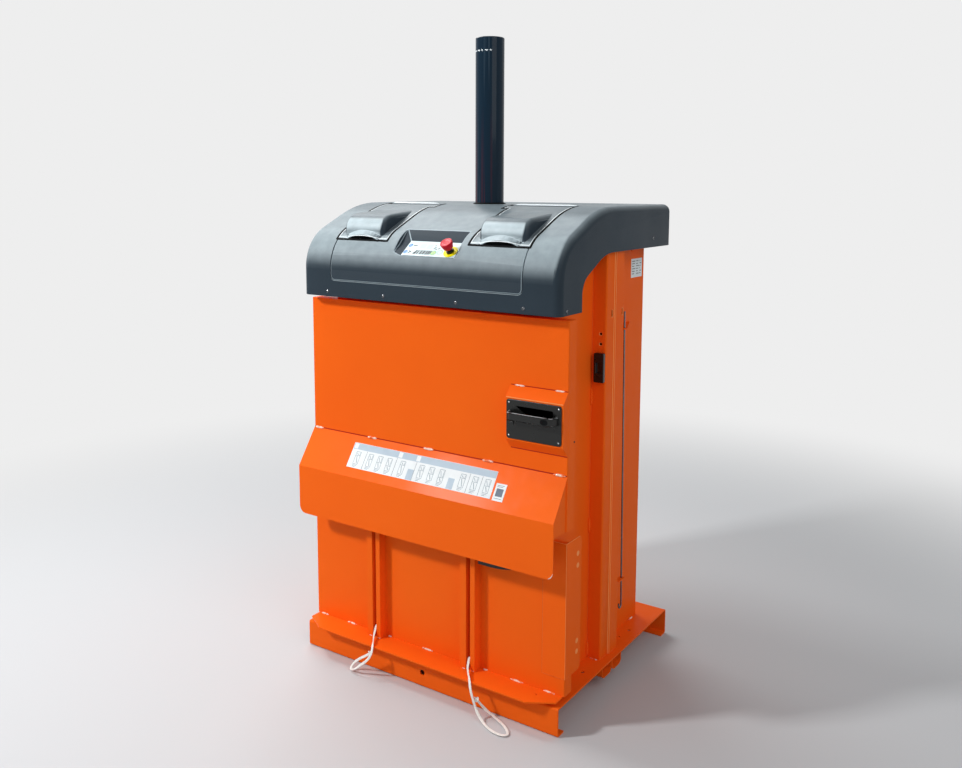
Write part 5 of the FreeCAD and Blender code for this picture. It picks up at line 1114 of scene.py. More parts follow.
    def welds(self) -> None:
        """Welds along the tops of the deflector and the pull housing, and a line of painted shade along the
        deflector's seam.
        """
        y, z = self.slope_top
        welds = Welds(self.shop, self.rider)
        welds.row("deflector_welds", [(x, y - 1, z + 1) for x in (-450, -225, -3, 212, 448)], 19)
        welds.row("housing_welds", [(x, y - 0.5, 974.5) for x in (318, 447)], 17, 0.7)
        path = line(np.linspace(-self.half, self.half, 60), y - 0.2, z + 1.4)
        self.add("deflector_seam", sweep(path, oval(3.4, 1.4, 8, 0.6), FORWARD), SEAM_SHADE, Slot.ORANGE)

    def screws(self) -> None:
        """The pull's four corner screws and the one in the door's side."""
        screws = Fasteners(self.shop, self.rider)
        left, right, low, high = self.pull_screws
        for row, z in (("low", low), ("high", high)):
            for column, x in (("left", left), ("right", right)):
                screws.screw(f"pull_screw_{row}_{column}", (x, self.pull_y, z), FORWARD, ZINC, 0.5)
        screws.screw("housing_side_screw", self.side_screw, RIGHT, BLACK, 0.6)

    def across(self, y: float, z: float) -> Shape:
        """A thin line over the pull housing's width."""
        return sweep(line(np.linspace(*self.housing[:2], 30), y, z), oval(2.6, 1.0, 8, 0.7), FORWARD)

    def pull_lines(self) -> None:
        """Painted highlight along the grip's edge, painted shade in the recess behind it, lines of painted
        shade along the housing's seams and a painted highlight along its upper fold.
        """
        reach = self.pull_y - self.grip_depth
        ends = np.array([(302.5, self.pull_y), (311.5, reach), (449.0, reach), (458.0, self.pull_y)])
        share = np.linspace(0.0, 1.0, 30)[::3, None]
        plan = np.vstack([a + share * (b - a) for a, b in zip(ends, ends[1:])])
        edge = sweep(line(plan[:, 0], plan[:, 1], self.grip_z), oval(3.0, 1.6, 10), UP)
        self.add("grip_line", edge, GLINT, Slot.PULL)
        seams = joined(self.across(self.seam_y, z) for z in self.housing[2:])
        self.add("housing_seams", seams, SEAM_SHADE, Slot.ORANGE)
        self.add("housing_fold", self.across(*self.fold), HIGHLIGHT_ORANGE, Slot.ORANGE)
        # a black plaque behind the grip: painted shade of its recess
        front = Sheet(metres((self.hollow_shade[0], reach, self.hollow_shade[1])), RIGHT, UP)
        self.print("grip_hollow", front, [block(-12.0, 11.0, -7.5, 7.5, 7.4)], (-0.1, 0.15), SHADE_BLACK, Slot.BLACK)

    def chip(self) -> None:
        """Bare metal where the paint is knocked off the skirt's lower corner: an arc of wavering width."""
        share = np.linspace(0.0, 1.0, 17)
        angle = -math.pi / 2 * (0.15 + 0.6 * share)
        path = line(self.corner[0] + self.corner_radius * np.cos(angle), self.slope_foot[0] - 0.2,
                    self.corner[1] + self.corner_radius * np.sin(angle))
        size = 0.25 + 0.75 * np.sin(math.pi * share) * (0.8 + 0.2 * np.cos(23.0 * share))
        self.add("skirt_chip", sweep(path, oval(2.6, 1.6, 10), BACK, size), CHIP, Slot.ORANGE)


@dataclass
class LowerDoor(Assembly):
    """Bale door: welds where it meets its shelf, the plug welds of its hinge blocks, and its pull.

    The leg's ends are heights, and its reach is how far its foot runs; the pull lies at (y, z).
    """

    rider: Rider = Rider.LOWER_DOOR
    shelf_z: float = 101.0
    face_y: float = 40.0
    side_x: float = 474.9
    leg_x: float = 399.4
    leg_ends: Pair = (152.6, 549.0)
    leg_reach: float = 72.0
    plugs: Quad = (211.0, 243.0, 467.0, 502.0)
    pull_ends: Pair = (196.0, 330.0)
    pull_at: Pair = (28.0, 454.5)
    pull_drawn: Triple = (0.62, 0.35, 1.8)
    pull_wall: tuple[Pair, ...] = ((-13.0, 0.0), (-13.0, -3.0), (9.5, -3.0), (9.5, -18.0), (10.4, -19.6),
                                   (11.6, -19.8), (12.6, -19.0), (13.0, -17.0), (13.0, -1.5), (12.4, 0.0))

    def build(self, nodes: Nodes) -> None:
        """Makes every piece of the door.

        Args:
            nodes: the frame's node objects by name.
        """
        # the wrap plate's rounded edges take the paler orange: painted highlight
        self.shop.softened(nodes["wrap_plate"], 0.7, (ORANGE, HIGHLIGHT_ORANGE), self.rider, Slot.ORANGE)
        self.welds()
        self.wrap_seam()
        self.cup()

    def welds(self) -> None:
        """The shelf's and the channels' beads, and the round plugs in the wrap plate's side, as pale discs of
        painted glint.
        """
        beads = Welds(self.shop, self.rider)
        spots = [(x, self.face_y, self.shelf_z) for x in (-441, -321, -160, -10, 207, 316, 424)]
        beads.row("shelf_welds", spots, (16, 20, 7, 21, 9, 22, 19), 0.85)
        beads.row("channel_welds", [(x, 12, self.shelf_z) for x in (-214, -181, 147, 179)], 6, 0.6)
        side = Sheet(metres((self.side_x, 0.0, 0.0)), BACK, UP)
        plugs = [disc(105.0, z, 7.5) for z in self.plugs]
        self.print("wrap_plug_welds", side, plugs, (0.0, 0.12), HIGHLIGHT_ORANGE, Slot.ORANGE)

    def wrap_seam(self) -> None:
        """A line of painted shade round the wrap plate's front leg: down its inner edge and along its foot.
        """
        share = np.linspace(0.0, 1.0, 40)
        foot, top = self.leg_ends
        x = np.concatenate([np.full(40, self.leg_x), self.leg_x + self.leg_reach * share[1:]])
        z = np.concatenate([top - (top - foot) * share, np.full(39, foot)])
        shape = sweep(line(x, self.face_y + 0.9, z), oval(1.8, 0.5, 8, 0.6), FORWARD)
        self.add("wrap_seam", shape, SEAM_SHADE, Slot.ORANGE)

    def cup(self) -> None:
        """The door's pull: a top and a front wall, open below, drawn in towards its right end.

        Size = 1 - d ((s - t) / (1 - t))^p for shares s of its length past t, with (d, t, p) as pull_drawn.
        """
        drawn, onset, power = self.pull_drawn
        share = np.linspace(0.0, 1.0, 50)
        size = 1.0 - drawn * np.clip((share - onset) / (1.0 - onset), 0.0, 1.0) ** power
        path = line(np.linspace(*self.pull_ends, 50), *self.pull_at)
        shape = sweep(path, np.array(self.pull_wall) * MM, UP, size)
        self.add("lower_pull_cup", shape, PULL_BLACK, Slot.PULL, replaces=("lower_pull",))


@dataclass
class Chamber(Assembly):
    """The fixed body's details: rounded columns and catch, weld tabs, and the blank side plate's print.

    Words are the starts and ends of one row's strokes, and the plate is where the first row starts.
    """

    column: Pair = (404.5, 305.5)
    base_top: float = 86.0
    feet: tuple[Pair, ...] = ((429.0, 303.0), (406.0, 455.0), (406.0, 615.0))
    words: tuple[Pair, ...] = ((6.0, 30.0), (36.0, 56.0), (62.0, 74.0))
    plate: Triple = (403.6, 566.0, 1298.0)

    def build(self, nodes: Nodes) -> None:
        """Makes every piece of the chamber.

        Args:
            nodes: the frame's node objects by name.
        """
        self.shop.softened(nodes["strap_catch"], 2.0, (BLACK,), self.rider, Slot.BLACK)
        # the columns' rounded edges take the paler orange: painted highlight
        self.shop.softened(nodes["side_columns"], 1.4, (ORANGE, HIGHLIGHT_ORANGE), self.rider, Slot.ORANGE)
        welds = Welds(self.shop)
        x, y = self.column
        for side in Side:
            tabs = [(side.value * x, y, z) for z in (904, 507, 111)]
            welds.row(f"column_welds_{side.word}", tabs, (26, 24, 25), 1.3, UP, ORANGE)
        feet = [(*foot, self.base_top) for foot in self.feet]
        welds.row("foot_welds_right", feet, (13, 15, 15), 0.7, np.array([RIGHT, BACK, BACK]))
        self.print_side_plate()

    def print_side_plate(self) -> None:
        """Rows of short strokes on the side's pale plate, their ends cut by turns."""
        marks = [stroke(start, -8.0 * row, end - 4.0 * ((row - 1 + part) % 3), -8.0 * row, 2.0)
                 for row in range(1, 7) for part, (start, end) in enumerate(self.words)]
        sheet = Sheet(metres(self.plate), BACK, UP)
        self.print("side_plate_print", sheet, marks, (0.0, 0.1), INK, Slot.LABEL)


@dataclass
class Hood(Assembly):
    """The hood: its moulded parts with rounded edges, the painted shade and highlight lines round its lids,
    and its screws.

    Nose and brow are circles (y, z, radius), and the slope is (y, z, rise for each step back). A lid is
    inner and outer side, front and back, and its tab is side and front. The arch is half its width and its
    rise, and the painted shade in it half its width, its foot and its play. A ridge is its start and its
    length, right then left.
    """

    front: float = -4.0
    half: float = 467.0
    edge: float = 1.8
    recess: float = 3.0
    nose: Triple = (136.0, 1267.0, 140.0)
    slope: Triple = (77.9, 1394.4, 0.4557)
    slope_end: float = 164.8
    brow: Triple = (326.1, 1080.0, 389.0)
    lid: Quad = (150.0, 352.0, 33.0, 299.0)
    tab: Pair = (128.0, 240.0)
    arch: Pair = (66.0, 11.0)
    arch_end: float = 45.0
    rim_end: float = 276.0
    # how far outside each lid the black line of painted shade runs
    shade_gap: float = 1.0
    rim_gap: float = -4.6
    brush: Triple = (60.0, -3.5, 2.0)
    ridge_y: float = 307.0
    ridge_run: tuple[Pair, Pair] = ((132.0, 216.0), (160.0, 190.0))
    front_screws: Quad = (-363.0, -138.0, 129.0, 354.0)
    front_screw_z: float = 1198.0
    side_screws: tuple[tuple[str, float, float], ...] = (("front", 36.0, 1194.0), ("back", 587.0, 1365.0))

    def build(self, nodes: Nodes) -> None:
        """Makes every piece of the hood.

        Args:
            nodes: the frame's node objects by name.
        """
        # the last finish of each node goes on its rounded edges; the console cover's is a painted highlight
        for name, rider, finishes in (
                ("hood_shell", Rider.FRAME, (HOOD_GREY,)), ("roof_cover", Rider.FRAME, (HOOD_GREY,)),
                ("console_cover", Rider.FRAME, (HOOD_GREY, PLAIN_GREY, EDGE_HIGHLIGHT_GREY)),
                ("lid_left", Rider.LID_LEFT, (LID_GREY,)), ("lid_right", Rider.LID_RIGHT, (LID_GREY,))):
            made = self.shop.softened(nodes[name], self.edge, finishes, rider, Slot.HOOD)
            if PLAIN_GREY in finishes:
                self.line_recess(made.data)
        for side in Side:
            self.ridge(side)
            self.lid_lines(side)
        self.screws()

    def screws(self) -> None:
        """Four screws along the hood's front edge and two on each side."""
        screws = Fasteners(self.shop)
        for index, x in enumerate(self.front_screws, 1):
            spot = (x, self.front, self.front_screw_z)
            screws.screw(f"hood_front_screw_{index}", spot, FORWARD, DARK_ZINC, 1.05)
        for side in Side:
            for row, y, z in self.side_screws:
                spot = (side.value * self.half, y, z)
                screws.screw(f"hood_{side.word}_screw_{row}", spot, side.value * RIGHT, DARK_ZINC, 1.05)

    def line_recess(self, mesh: bpy.types.Mesh) -> None:
        """Gives the console cover's faces that lie well under the hood's outer face its second finish.

        Args:
            mesh: the console cover's new mesh.
        """
        centres = np.zeros(len(mesh.polygons) * 3)
        mesh.polygons.foreach_get("center", centres)
        drawn = centres.reshape(-1, 3) / MM + (0.0, FRONT, 0.0)
        level = self.surface(drawn, 0.0)[0][:, 2] / MM
        mesh.polygons.foreach_set("material_index", (drawn[:, 2] < level - self.recess).astype(np.int32))

    def surface(self, plan: np.ndarray, lift: np.ndarray | float) -> tuple[np.ndarray, np.ndarray]:
        """Points over the hood's outer face.

        Height over y = nose circle, then the slope, then the brow circle, then the flat roof; each point is
        then moved by lift along the face's normal.

        Args:
            plan: (x, y) rows in millimetres.
            lift: how far the points lie over the face.

        Returns:
            The points in metres and the face's normals.
        """
        x, y = plan[:, 0], plan[:, 1]
        nose_y, nose_z, nose_radius = self.nose
        brow_y, brow_z, brow_radius = self.brow
        start, height, rise = self.slope
        ahead = np.maximum(brow_y - y, 0.0)
        nose = np.sqrt(np.maximum(nose_radius ** 2 - (nose_y - y) ** 2, 0.0))
        brow = np.sqrt(brow_radius ** 2 - ahead ** 2)
        parts = [y < start, y < self.slope_end]
        z = np.select(parts, [nose_z + nose, height + (y - start) * rise], brow_z + brow)
        tilt = np.select(parts, [(nose_y - y) / np.maximum(nose, MM), np.full_like(y, rise)], ahead / brow)
        normal = np.stack([np.zeros_like(y), -tilt, np.ones_like(y)], axis=1)
        normal /= np.linalg.norm(normal, axis=1, keepdims=True)
        return metres(np.stack([x, y, z], axis=1) + np.broadcast_to(lift, y.shape)[:, None] * normal), normal

    def outline(self, gap: float, side: Side) -> np.ndarray:
        """One lid's outline in plan, moved outwards by a gap.

        Args:
            gap: how far.
            side: the lid's side.

        Returns:
            (x, y) rows in millimetres.
        """
        inner, outer, front, back = self.lid
        tab, neck = self.tab
        corners = np.array([(tab - gap, back), (tab - gap, neck - gap), (inner - gap, neck - gap),
                            (inner - gap, front - gap), (outer + gap, front - gap), (outer + gap, back)])
        share = np.linspace(0.0, 1.0, 90)[1:, None]
        legs = [a + share * (b - a) for a, b in zip(corners, corners[1:])]
        return np.vstack([corners[:1], *legs]) * (side.value, 1.0)

    def lid_lines(self, side: Side) -> None:
        """A black line of painted shade in the gap round one lid, a pale line of painted highlight along the
        lid's rim and a dark plate of painted shade in its finger arch.

        Arch height = rise - r + sqrt(r^2 - x^2), with r = (half^2 + rise^2) / (2 rise).

        Args:
            side: the lid's side.
        """
        rider = Rider[f"LID_{side.name}"]
        middle, front = (self.lid[0] + self.lid[1]) / 2, self.lid[2]
        half, rise = self.arch
        radius = (half ** 2 + rise ** 2) / (2 * rise)
        points, normals = self.surface(self.outline(self.shade_gap, side), -0.1)
        self.add(f"lid_{side.word}_gap_shade", sweep(points, oval(7.6, 2.2, 12, 0.7), normals), SHADE_BLACK, Slot.BLACK)
        plan = self.outline(self.rim_gap, side)
        plan = plan[plan[:, 1] < self.rim_end]
        reach = side.value * plan[:, 0] - middle
        arch = np.sqrt(np.maximum(radius ** 2 - reach ** 2, 0.0)) - radius + rise
        points, normals = self.surface(plan, np.where(plan[:, 1] < self.arch_end, np.maximum(arch, 0.0), 0.0))
        # the lid's pale rim line: painted highlight
        self.add(f"lid_{side.word}_rim", sweep(points, oval(2.6, 1.0, 10, 0.8), normals), SCUFF_AND_HIGHLIGHT, Slot.HOOD,
                 rider=rider)
        points, normals = self.surface(np.array([(side.value * middle, front + 5.0)]), 0.0)
        half, foot, play = self.brush
        spread = np.linspace(half, -half, 40)
        roof = np.sqrt(radius ** 2 - spread ** 2) - radius + rise - play
        brush = np.vstack([np.stack([spread, roof], axis=1), [(-half, foot), (half, foot)]])
        self.print(f"lid_{side.word}_brush", Sheet(points[0], RIGHT, normals[0]), [brush], (-0.4, 0.4), SHADE_BLACK,
                   Slot.BLACK, rider=rider)

    def ridge(self, side: Side) -> None:
        """A low ridge along the roof cover's front edge, behind one lid, drawn down at both ends, in pale
        painted highlight.

        Args:
            side: the side the lid is on.
        """
        share = np.linspace(0.0, 1.0, 48)
        start, reach = self.ridge_run[side is Side.LEFT]
        plan = np.stack([side.value * (start + reach * share), np.full(48, self.ridge_y)], axis=1)
        size = np.clip(1.02 - np.abs(2.0 * share - 1.0) ** 16, 0.05, 1.0)
        self.add(f"roof_ridge_{side.word}", sweep(self.surface(plan, 0.0)[0], oval(9.0, 6.0, 14), UP, size),
                 SCUFF_AND_HIGHLIGHT, Slot.HOOD)


@dataclass
class Controls(Assembly):
    """Keypad print and the emergency stop.

    Front is the middle of the panel's front edge, and rise its way up. Foot, rim and dish are the cap's
    profile as (radius, height), the rim with its rounding. The arrows are at a radius, a height and an angle.
    """

    front: Triple = (0.0, 8.5, 1322.0)
    rise: Triple = (0.0, 50.5, 39.0)
    sheet_lift: float = 2.0
    ink: float = 0.15
    stop_x: float = 91.0
    stop_along: float = 23.0
    foot: tuple[Pair, ...] = ((0.0, 17.0), (11.0, 17.0), (13.0, 17.4), (13.9, 18.6), (14.6, 21.0),
                              (16.4, 26.5), (18.0, 32.0))
    rim: Triple = (16.2, 37.7, 2.3)
    arrow_at: Triple = (10.2, 39.3, 0.3)
    arrow_turn: float = 1.9
    dish: tuple[Pair, ...] = ((14.6, 39.7), (12.0, 39.4), (6.0, 39.1), (0.0, 39.0))

    @property
    def along(self) -> np.ndarray:
        """Along the panel, from front to back."""
        return np.array(self.rise) / math.hypot(*self.rise)

    def build(self) -> None:
        """Makes the print and the stop."""
        bars = ((-32.0, 5.0), (-23.5, 5.0), (-12.5, 7.0), (-2.0, 7.0), (8.0, 5.6), (15.5, 4.4), (21.0, 3.6))
        signs = ((-56.0, 44.5, -41.0, 44.5, 2.6), (-58.0, 10.0, -50.0, 19.0, 2.8),
                 (-58.0, 21.0, -50.0, 15.0, 2.4), (-40.0, 9.0, -34.0, 17.0, 3.0),
                 (24.0, 33.0, 31.0, 41.0, 3.0), (31.0, 32.0, 37.0, 32.0, 2.6),
                 (40.0, 33.0, 46.0, 38.0, 2.8), (22.0, 45.0, 27.0, 49.0, 2.2))
        marks = [stroke(u - 1.5, 7.5, u + 1.5, 24.5, width) for u, width in bars]
        rings = [outline for u, v in ((-66.0, 44.0), (-69.0, 15.0))
                 for outline in (*self.ring(u, v, 5.4, 3.0), disc(u, v, 2.43, 16))]
        self.ink_in("key_rings", rings, BLUE_INK)
        self.ink_in("key_green", [disc(33.0, 15.5, 10.0)], GREEN_INK)
        self.ink_in("key_halo", self.ring(54.0, 20.0, 8.5, 1.6), GREEN_INK)
        self.ink_in("key_heart", self.ring(33.0, 15.5, 5.0, 1.6), YELLOW_INK, 0.16, 0.1)
        self.ink_in("key_marks", marks + [stroke(*sign) for sign in signs], INK)
        fields = [block(start, end, 34.0, 52.0, 2.0) for start, end in ((-30.0, -8.0), (-4.0, 16.0))]
        self.ink_in("key_display", fields, KEY_SHADE)
        self.stop()

    @staticmethod
    def ring(u: float, v: float, radius: float, width: float) -> list[np.ndarray]:
        """A ring of short strokes."""
        spots = (u, v) + radius * circle(18)
        return [stroke(*a, *b, width) for a, b in zip(spots, np.roll(spots, -1, axis=0))]

    def ink_in(self, name: str, outlines: Sequence[np.ndarray], finish: Finish, raised: float = 0.0,
               thick: float = 0.0) -> None:
        """Prints outlines on the keypad.

        Args:
            name: the piece's name.
            outlines: closed outlines, u to the side and v up the panel.
            finish: the finish they get.
            raised: how much higher than usual their backs lie.
            thick: how much higher their faces lie.
        """
        levels = (self.sheet_lift + raised, self.sheet_lift + self.ink + thick)
        self.print(name, Sheet(metres(self.front), RIGHT, self.along), outlines, levels, finish, Slot.KEYPAD)

    def stop(self) -> None:
        """The mushroom: a turned profile with a rounded rim and a shallow dish, and two raised arrows."""
        along, out = self.along, np.cross(RIGHT, self.along)
        centre = metres(self.front) + (self.stop_x * RIGHT + self.stop_along * along) * MM
        turn = np.linspace(0.0, math.pi / 2, 7)
        radius, height, round_ = self.rim
        rim = np.stack([radius + round_ * np.cos(turn), height + round_ * np.sin(turn)], axis=1)
        lobes = [0.0, 0.0, 0.0, 0.02, 0.03, 0.01, 0.0] + [0.0] * 11
        cap = lathe(np.vstack([self.foot, rim, self.dish]), centre, out, 72, lobes, 18)
        self.add("estop_cap", cap, RED, Slot.RED, rider=Rider.ESTOP_HEAD, replaces=("estop_head",))
        height, start = self.arrow_at[1:]
        arrows = [self.arrow(centre + out * height * MM, out, start + turn) for turn in (0.0, math.pi)]
        self.add("estop_arrows", joined(arrows), PALE_RED, Slot.RED, rider=Rider.ESTOP_HEAD)

    def arrow(self, centre: np.ndarray, out: np.ndarray, start: float) -> Shape:
        """A curved arrow: an arc whose width swells to a head and shrinks to its tip.

        Args:
            centre: the arc's middle.
            out: away from the panel.
            start: the angle of its tail.

        Returns:
            The points and the faces.
        """
        share = np.linspace(0.0, 1.0, 25)
        angle = start + self.arrow_turn * share[:, None]
        path = centre + self.arrow_at[0] * MM * (np.cos(angle) * RIGHT + np.sin(angle) * self.along)
        size = np.where(share < 0.7, 0.45, 1.25 * (1.0 - share) / 0.3 + 0.05)
        return sweep(path, oval(2.6, 0.6, 10, 0.6), out, size)


@dataclass
class Barrel(Assembly):
    """The press cylinder's details: a black ring of painted shade at its foot and a scuffed line under its
    rim.

    Scuffs are pairs of angles, and the lip is the ring's profile as (out from the barrel, height).
    """

    radius: float = 45.5
    y: float = 362.0
    roof: float = 1469.0
    scuff_z: float = 1943.0
    scuffs: tuple[Pair, ...] = ((-2.56, -2.3), (-2.2, -2.1), (-1.98, -1.72), (-1.6, -1.5), (-1.34, -1.12),
                                (-1.0, -0.86))
    lip: tuple[Pair, ...] = ((0.2, -3.0), (1.8, -3.0), (1.8, 0.2), (6.0, 0.2), (6.6, 1.4), (5.2, 2.6),
                             (2.0, 3.2), (0.3, 5.0), (0.2, -3.0))

    def build(self) -> None:
        """Makes the ring and the scuff."""
        ring = lathe(np.array(self.lip) + (self.radius, 0.0), metres((0.0, self.y, self.roof)), UP, 96)
        # black ring where the barrel meets the roof: painted shade of the gap
        self.add("barrel_foot_shade", ring, SHADE_BLACK, Slot.BLACK)
        self.add("barrel_scuff", joined(self.scuff(*ends) for ends in self.scuffs), SCUFF_AND_HIGHLIGHT, Slot.CYLINDER)

    def scuff(self, start: float, end: float) -> Shape:
        """A thin arc on the barrel, from one angle to another, whose width wavers.

        Args:
            start: the first angle, in radians.
            end: the last angle.

        Returns:
            The arc's points and faces.
        """
        angle, share = np.linspace((start, 0.0), (end, 1.0), 25).T
        radius = self.radius + 0.05
        path = line(radius * np.cos(angle), self.y + radius * np.sin(angle),
                    self.scuff_z + 0.7 * np.sin(9.0 * share))
        size = 0.3 + 0.7 * np.abs(np.sin(7.0 * share)) * np.sin(math.pi * share)
        return sweep(path, oval(1.2, 5.6, 8), UP, size)


@dataclass
class Straps(Assembly):
    """The two free straps: flat webbing along a smooth line, each ending in a knot.

    The section lies flat below one height and stands upright over another, both in metres.
    """

    rider: Rider = Rider.LOWER_DOOR
    width: float = 8.0
    thickness: float = 2.2
    flat_below: float = 0.012
    upright_over: float = 0.042
    knot_size: float = 2.3
    knot_section: Pair = (4.6, 3.2)
    left: Sequence[Triple] = (
        (-198.5, 20, 138), (-196, 6, 116), (-182, -14, 108), (-163, -40, 108), (-156, -54, 86),
        (-168, -58, 62), (-196, -59, 38), (-226, -60, 13), (-247, -53, 6), (-240, -44, 26),
        (-214, -43, 47), (-186, -45, 65), (-167, -48, 80))
    right: Sequence[Triple] = (
        (163, 20, 138), (165, 6, 116), (181, -14, 108), (204, -40, 108), (217, -54, 85),
        (226, -52, 54), (236, -48, 21), (262, -58, 4), (305, -80, 4), (346, -84, 5),
        (357, -66, 4), (325, -38, 4), (280, -19, 5), (248, -29, 27), (231, -43, 56))

    def build(self) -> None:
        """Makes both straps."""
        self.strap("left", self.left)
        self.strap("right", self.right)

    @staticmethod
    def smooth_line(route: Sequence[Triple]) -> np.ndarray:
        """A smooth curve that has the route's points as its control points.

        Args:
            route: the route's points.

        Returns:
            Points along the curve, in metres.
        """
        curve = bpy.data.curves.new("route", "CURVE")
        curve.dimensions = "3D"
        spline = curve.splines.new("NURBS")
        spline.points.add(len(route) - 1)
        for point, place in zip(spline.points, metres(route)):
            point.co = (*place, 1.0)
        spline.order_u = 3
        spline.use_endpoint_u = True
        spline.resolution_u = 14
        drawn = hung("route", curve)
        bpy.context.view_layer.update()
        mesh = bpy.data.meshes.new_from_object(drawn)
        points = np.zeros(len(mesh.vertices) * 3)
        mesh.vertices.foreach_get("co", points)
        bpy.data.meshes.remove(mesh)
        bpy.data.objects.remove(drawn)
        bpy.data.curves.remove(curve)
        return points.reshape(-1, 3)

    def strap(self, side: str, route: Sequence[Triple]) -> None:
        """One strap: a flat rounded section carried along the smooth line, and its knot.

        Args:
            side: the strap's side, for its names.
            route: the points that its line follows.
        """
        path = self.smooth_line(route)
        steps = np.linalg.norm(np.diff(path, axis=0), axis=1)
        length = float(steps.sum())
        upright = np.clip((path[:, 2:] - self.flat_below) / (self.upright_over - self.flat_below), 0.0, 1.0)
        ups = upright * (0.0, -1.0, 0.25) + (1.0 - upright) * (0.0, -0.15, 1.0)
        section = oval(self.width, self.thickness, 16, 0.6)
        run = np.concatenate([[0.0, 0.0], np.cumsum(steps), [length]])
        around = np.arange(len(section)) / len(section) * 0.02
        uv = np.stack([np.repeat(run, len(section)), np.tile(around, len(run))], axis=1)
        piece = self.add(f"{side}_strap_webbing", sweep(path, section, ups), STRAP, Slot.STRAP,
                         replaces=(f"{side}_strap",), uv=uv)
        self.knot(side, path[-1])

    def knot(self, side: str, centre: np.ndarray) -> bpy.types.Object:
        """A small overhand knot: the curve (sin t + 2 sin 2t, cos t - 2 cos 2t, -sin 3t) as a tube.

        Args:
            side: the strap's side, for its name.
            centre: the strap's end.

        Returns:
            The new object.
        """
        t = np.linspace(0.0, 2.0 * math.pi, 73)
        shape = np.stack([np.sin(t) + 2 * np.sin(2 * t), -1.1 * np.sin(3 * t), np.cos(t) - 2 * np.cos(2 * t)],
                         axis=1)
        tube = sweep(centre + shape * self.knot_size * MM, oval(*self.knot_section, 12), (0.1, -1.0, 0.1))
        return self.add(f"{side}_strap_knot", tube, STRAP, Slot.STRAP)


@dataclass
class HydraulicUnit(Assembly):
    """What shows of the unit when a lid is open: the motor's fins and the tank's filler cap.

    Fins are their start, end and step along the motor's axis; core and tip are their radii.
    """

    axis: Triple = (0.0, 548.0, 1292.0)
    fins: Triple = (72.0, 250.0, 7.0)
    core: float = 70.2
    tip: float = 74.0
    filler: Triple = (-332.0, 503.0, 1403.5)
    cap: tuple[Pair, ...] = ((0.0, 0.0), (21.0, 0.0), (21.0, 9.0), (19.0, 11.0), (8.0, 12.0), (0.0, 12.0))

    def build(self) -> None:
        """Makes the fins, each 2.4 mm thick, and the cap."""
        foot = np.arange(*self.fins)
        heights = np.repeat(foot, 4) + np.tile([0.0, 0.2, 2.4, 2.6], len(foot))
        radii = np.tile([self.core, self.tip, self.tip, self.core], len(foot))
        inner = self.core - 1.2
        profile = np.vstack([[(inner, heights[0])], np.stack([radii, heights], axis=1),
                             [(inner, heights[-1]), (inner, heights[0])]])
        self.add("motor_fins", lathe(profile, metres(self.axis), RIGHT, 64), UNIT_GREY, Slot.STEEL_PAINT)
        lobes = (0.0, 0.03, 0.03, 0.02, 0.0, 0.0)
        cap = lathe(self.cap, metres(self.filler), UP, 48, lobes, 16)
        self.add("filler_cap", cap, BLACK, Slot.BLACK)


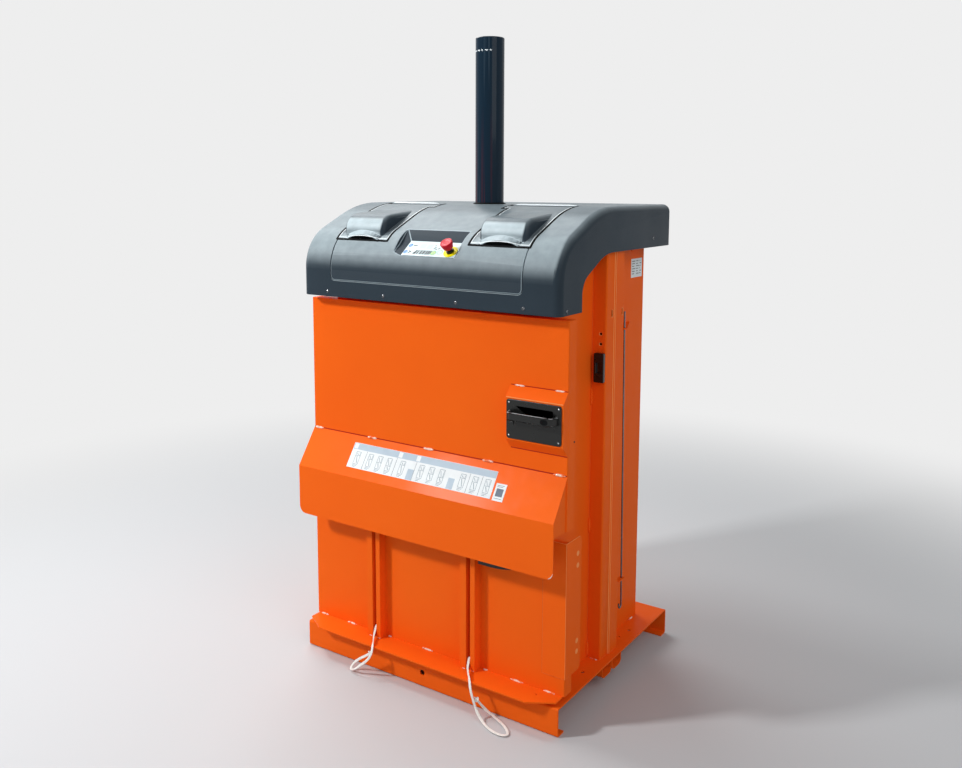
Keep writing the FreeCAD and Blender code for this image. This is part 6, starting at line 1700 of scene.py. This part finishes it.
# ---------------------------------------------------------------- the studio
@dataclass
class Studio:
    """Floor, sky, soft lamps and the camera; places are in scene metres."""

    camera_at: Triple = (1.65761, -2.48299, 1.52944)
    camera_turn: Triple = (83.028, -0.174, 34.069)
    lens: float = 34.845
    sensor: float = 36.0
    shift: Pair = (-0.0018, -0.0887)
    backdrop: Tint = Tint(238, 238, 238)
    floor_tint: Tint = Tint(200, 202, 204)
    floor_half: float = 30.0
    fade: Pair = (1.5, 3.6)
    ambient: float = 0.27
    aim: Triple = (0.0, 0.0, 0.8)
    lamps: tuple[tuple[str, Triple, float, float], ...] = (
        ("key", (-2.6, -3.3, 3.5), 0.5, 150.0), ("top", (-2.4, -0.5, 4.6), 1.0, 70.0),
        ("rim", (-2.3, 1.5, 4.4), 2.4, 90.0), ("side", (4.0, -1.6, 3.3), 3.2, 60.0))

    def build(self) -> None:
        """Makes the stage; each lamp has a name, a place, a width and a power."""
        self.floor()
        self.sky()
        for lamp in self.lamps:
            self.lamp(*lamp)
        self.camera()

    def floor(self) -> None:
        """A wide pale floor that keeps the shadow near the machine and fades into the backdrop.

        Share of backdrop = smooth step of the distance from the machine, for the camera and mirrors.
        """
        span = (-self.floor_half, self.floor_half)
        mesh = bpy.data.meshes.new("floor")
        mesh.from_pydata([(x, y, -0.0005) for x in span for y in span], [], [(0, 2, 3, 1)])
        bench = Bench("floor")
        bench.shade(Base_Color=self.floor_tint.linear(), Roughness=0.95, Specular_IOR_Level=0.05)
        away = bench.node("VectorMath", {"operation": "LENGTH"}, Vector=bench.place).outputs["Value"]
        share = bench.maths("MULTIPLY", bench.span(away, *self.fade, kind="SMOOTHSTEP"), bench.seen())
        glow = bench.node("Emission", Color=self.backdrop.linear(), Strength=1.0)
        bench.wire(bench.tree.nodes["Material Output"], {"Surface": bench.mixed(share, bench.shader, glow)})
        mesh.materials.append(bench.material)
        hung("floor", mesh)

    def sky(self) -> None:
        """A pale sky for the camera and mirrors, and a weaker even light for the rest."""
        world = bpy.data.worlds.new("studio")
        bpy.context.scene.world = world
        world.use_nodes = True
        world.node_tree.nodes.clear()
        tree = Tree(world.node_tree)
        light = tree.node("Background", Color=(0.96, 0.98, 1.0, 1.0), Strength=self.ambient)
        pale = tree.node("Background", Color=self.backdrop.linear())
        tree.node("OutputWorld", Surface=tree.mixed(tree.seen(), light, pale))

    def lamp(self, name: str, spot: Triple, size: float, power: float) -> None:
        """A square area lamp that points at the machine's middle.

        Args:
            name: the lamp's name.
            spot: where it hangs.
            size: its width.
            power: in watts.
        """
        data = bpy.data.lights.new(name, "AREA")
        data.size = size
        data.energy = power
        made = hung(name, data)
        made.location = spot
        made.rotation_euler = (Vector(self.aim) - Vector(spot)).to_track_quat("-Z", "Y").to_euler()

    def camera(self) -> None:
        """The camera at the photograph's angle."""
        data = bpy.data.cameras.new("camera")
        data.lens = self.lens
        data.sensor_width = self.sensor
        data.shift_x, data.shift_y = self.shift
        made = hung("camera", data)
        made.location = self.camera_at
        made.rotation_euler = [math.radians(turn) for turn in self.camera_turn]
        bpy.context.scene.camera = made


DRESSING = {
    "hood_shell roof_cover console_cover": HOOD_GREY,
    "lid_left lid_right": LID_GREY,
    "pull_plate lower_pull": PULL_BLACK,
    "estop_base estop_stem reel_left reel_right strap_catch": BLACK,
    "cylinder_barrel": BARREL,
    "hydraulic_unit valve_block control_box": UNIT_GREY,
    "cylinder_bolts lid_pins": ZINC,
    "strap_tool": DARK_ZINC,
    "piston_rod": BRIGHT,
    "control_panel": KEYPAD,
    "instruction_label small_label side_plate": LABEL,
    "estop_collar": YELLOW,
    "estop_head": RED,
    "coil_left coil_right": COIL,
    "left_strap right_strap": STRAP,
}


def main() -> None:
    """Loads the frame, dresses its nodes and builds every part."""
    logging.basicConfig(level=logging.INFO, format="%(name)s: %(message)s")
    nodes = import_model()["nodes"]
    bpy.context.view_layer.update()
    bpy.context.scene.view_settings.view_transform = "Standard"
    shop = Workshop()
    Studio().build()
    Straps(shop).build()
    shop.dress(nodes, DRESSING, ORANGE)
    for part in (UpperDoor(shop), LowerDoor(shop), Chamber(shop), Hood(shop)):
        part.build(nodes)
    for part in (Controls(shop), Barrel(shop), HydraulicUnit(shop)):
        part.build()
    LOG.info("%d pieces", shop.count)


if __name__ == "__main__":
    main()
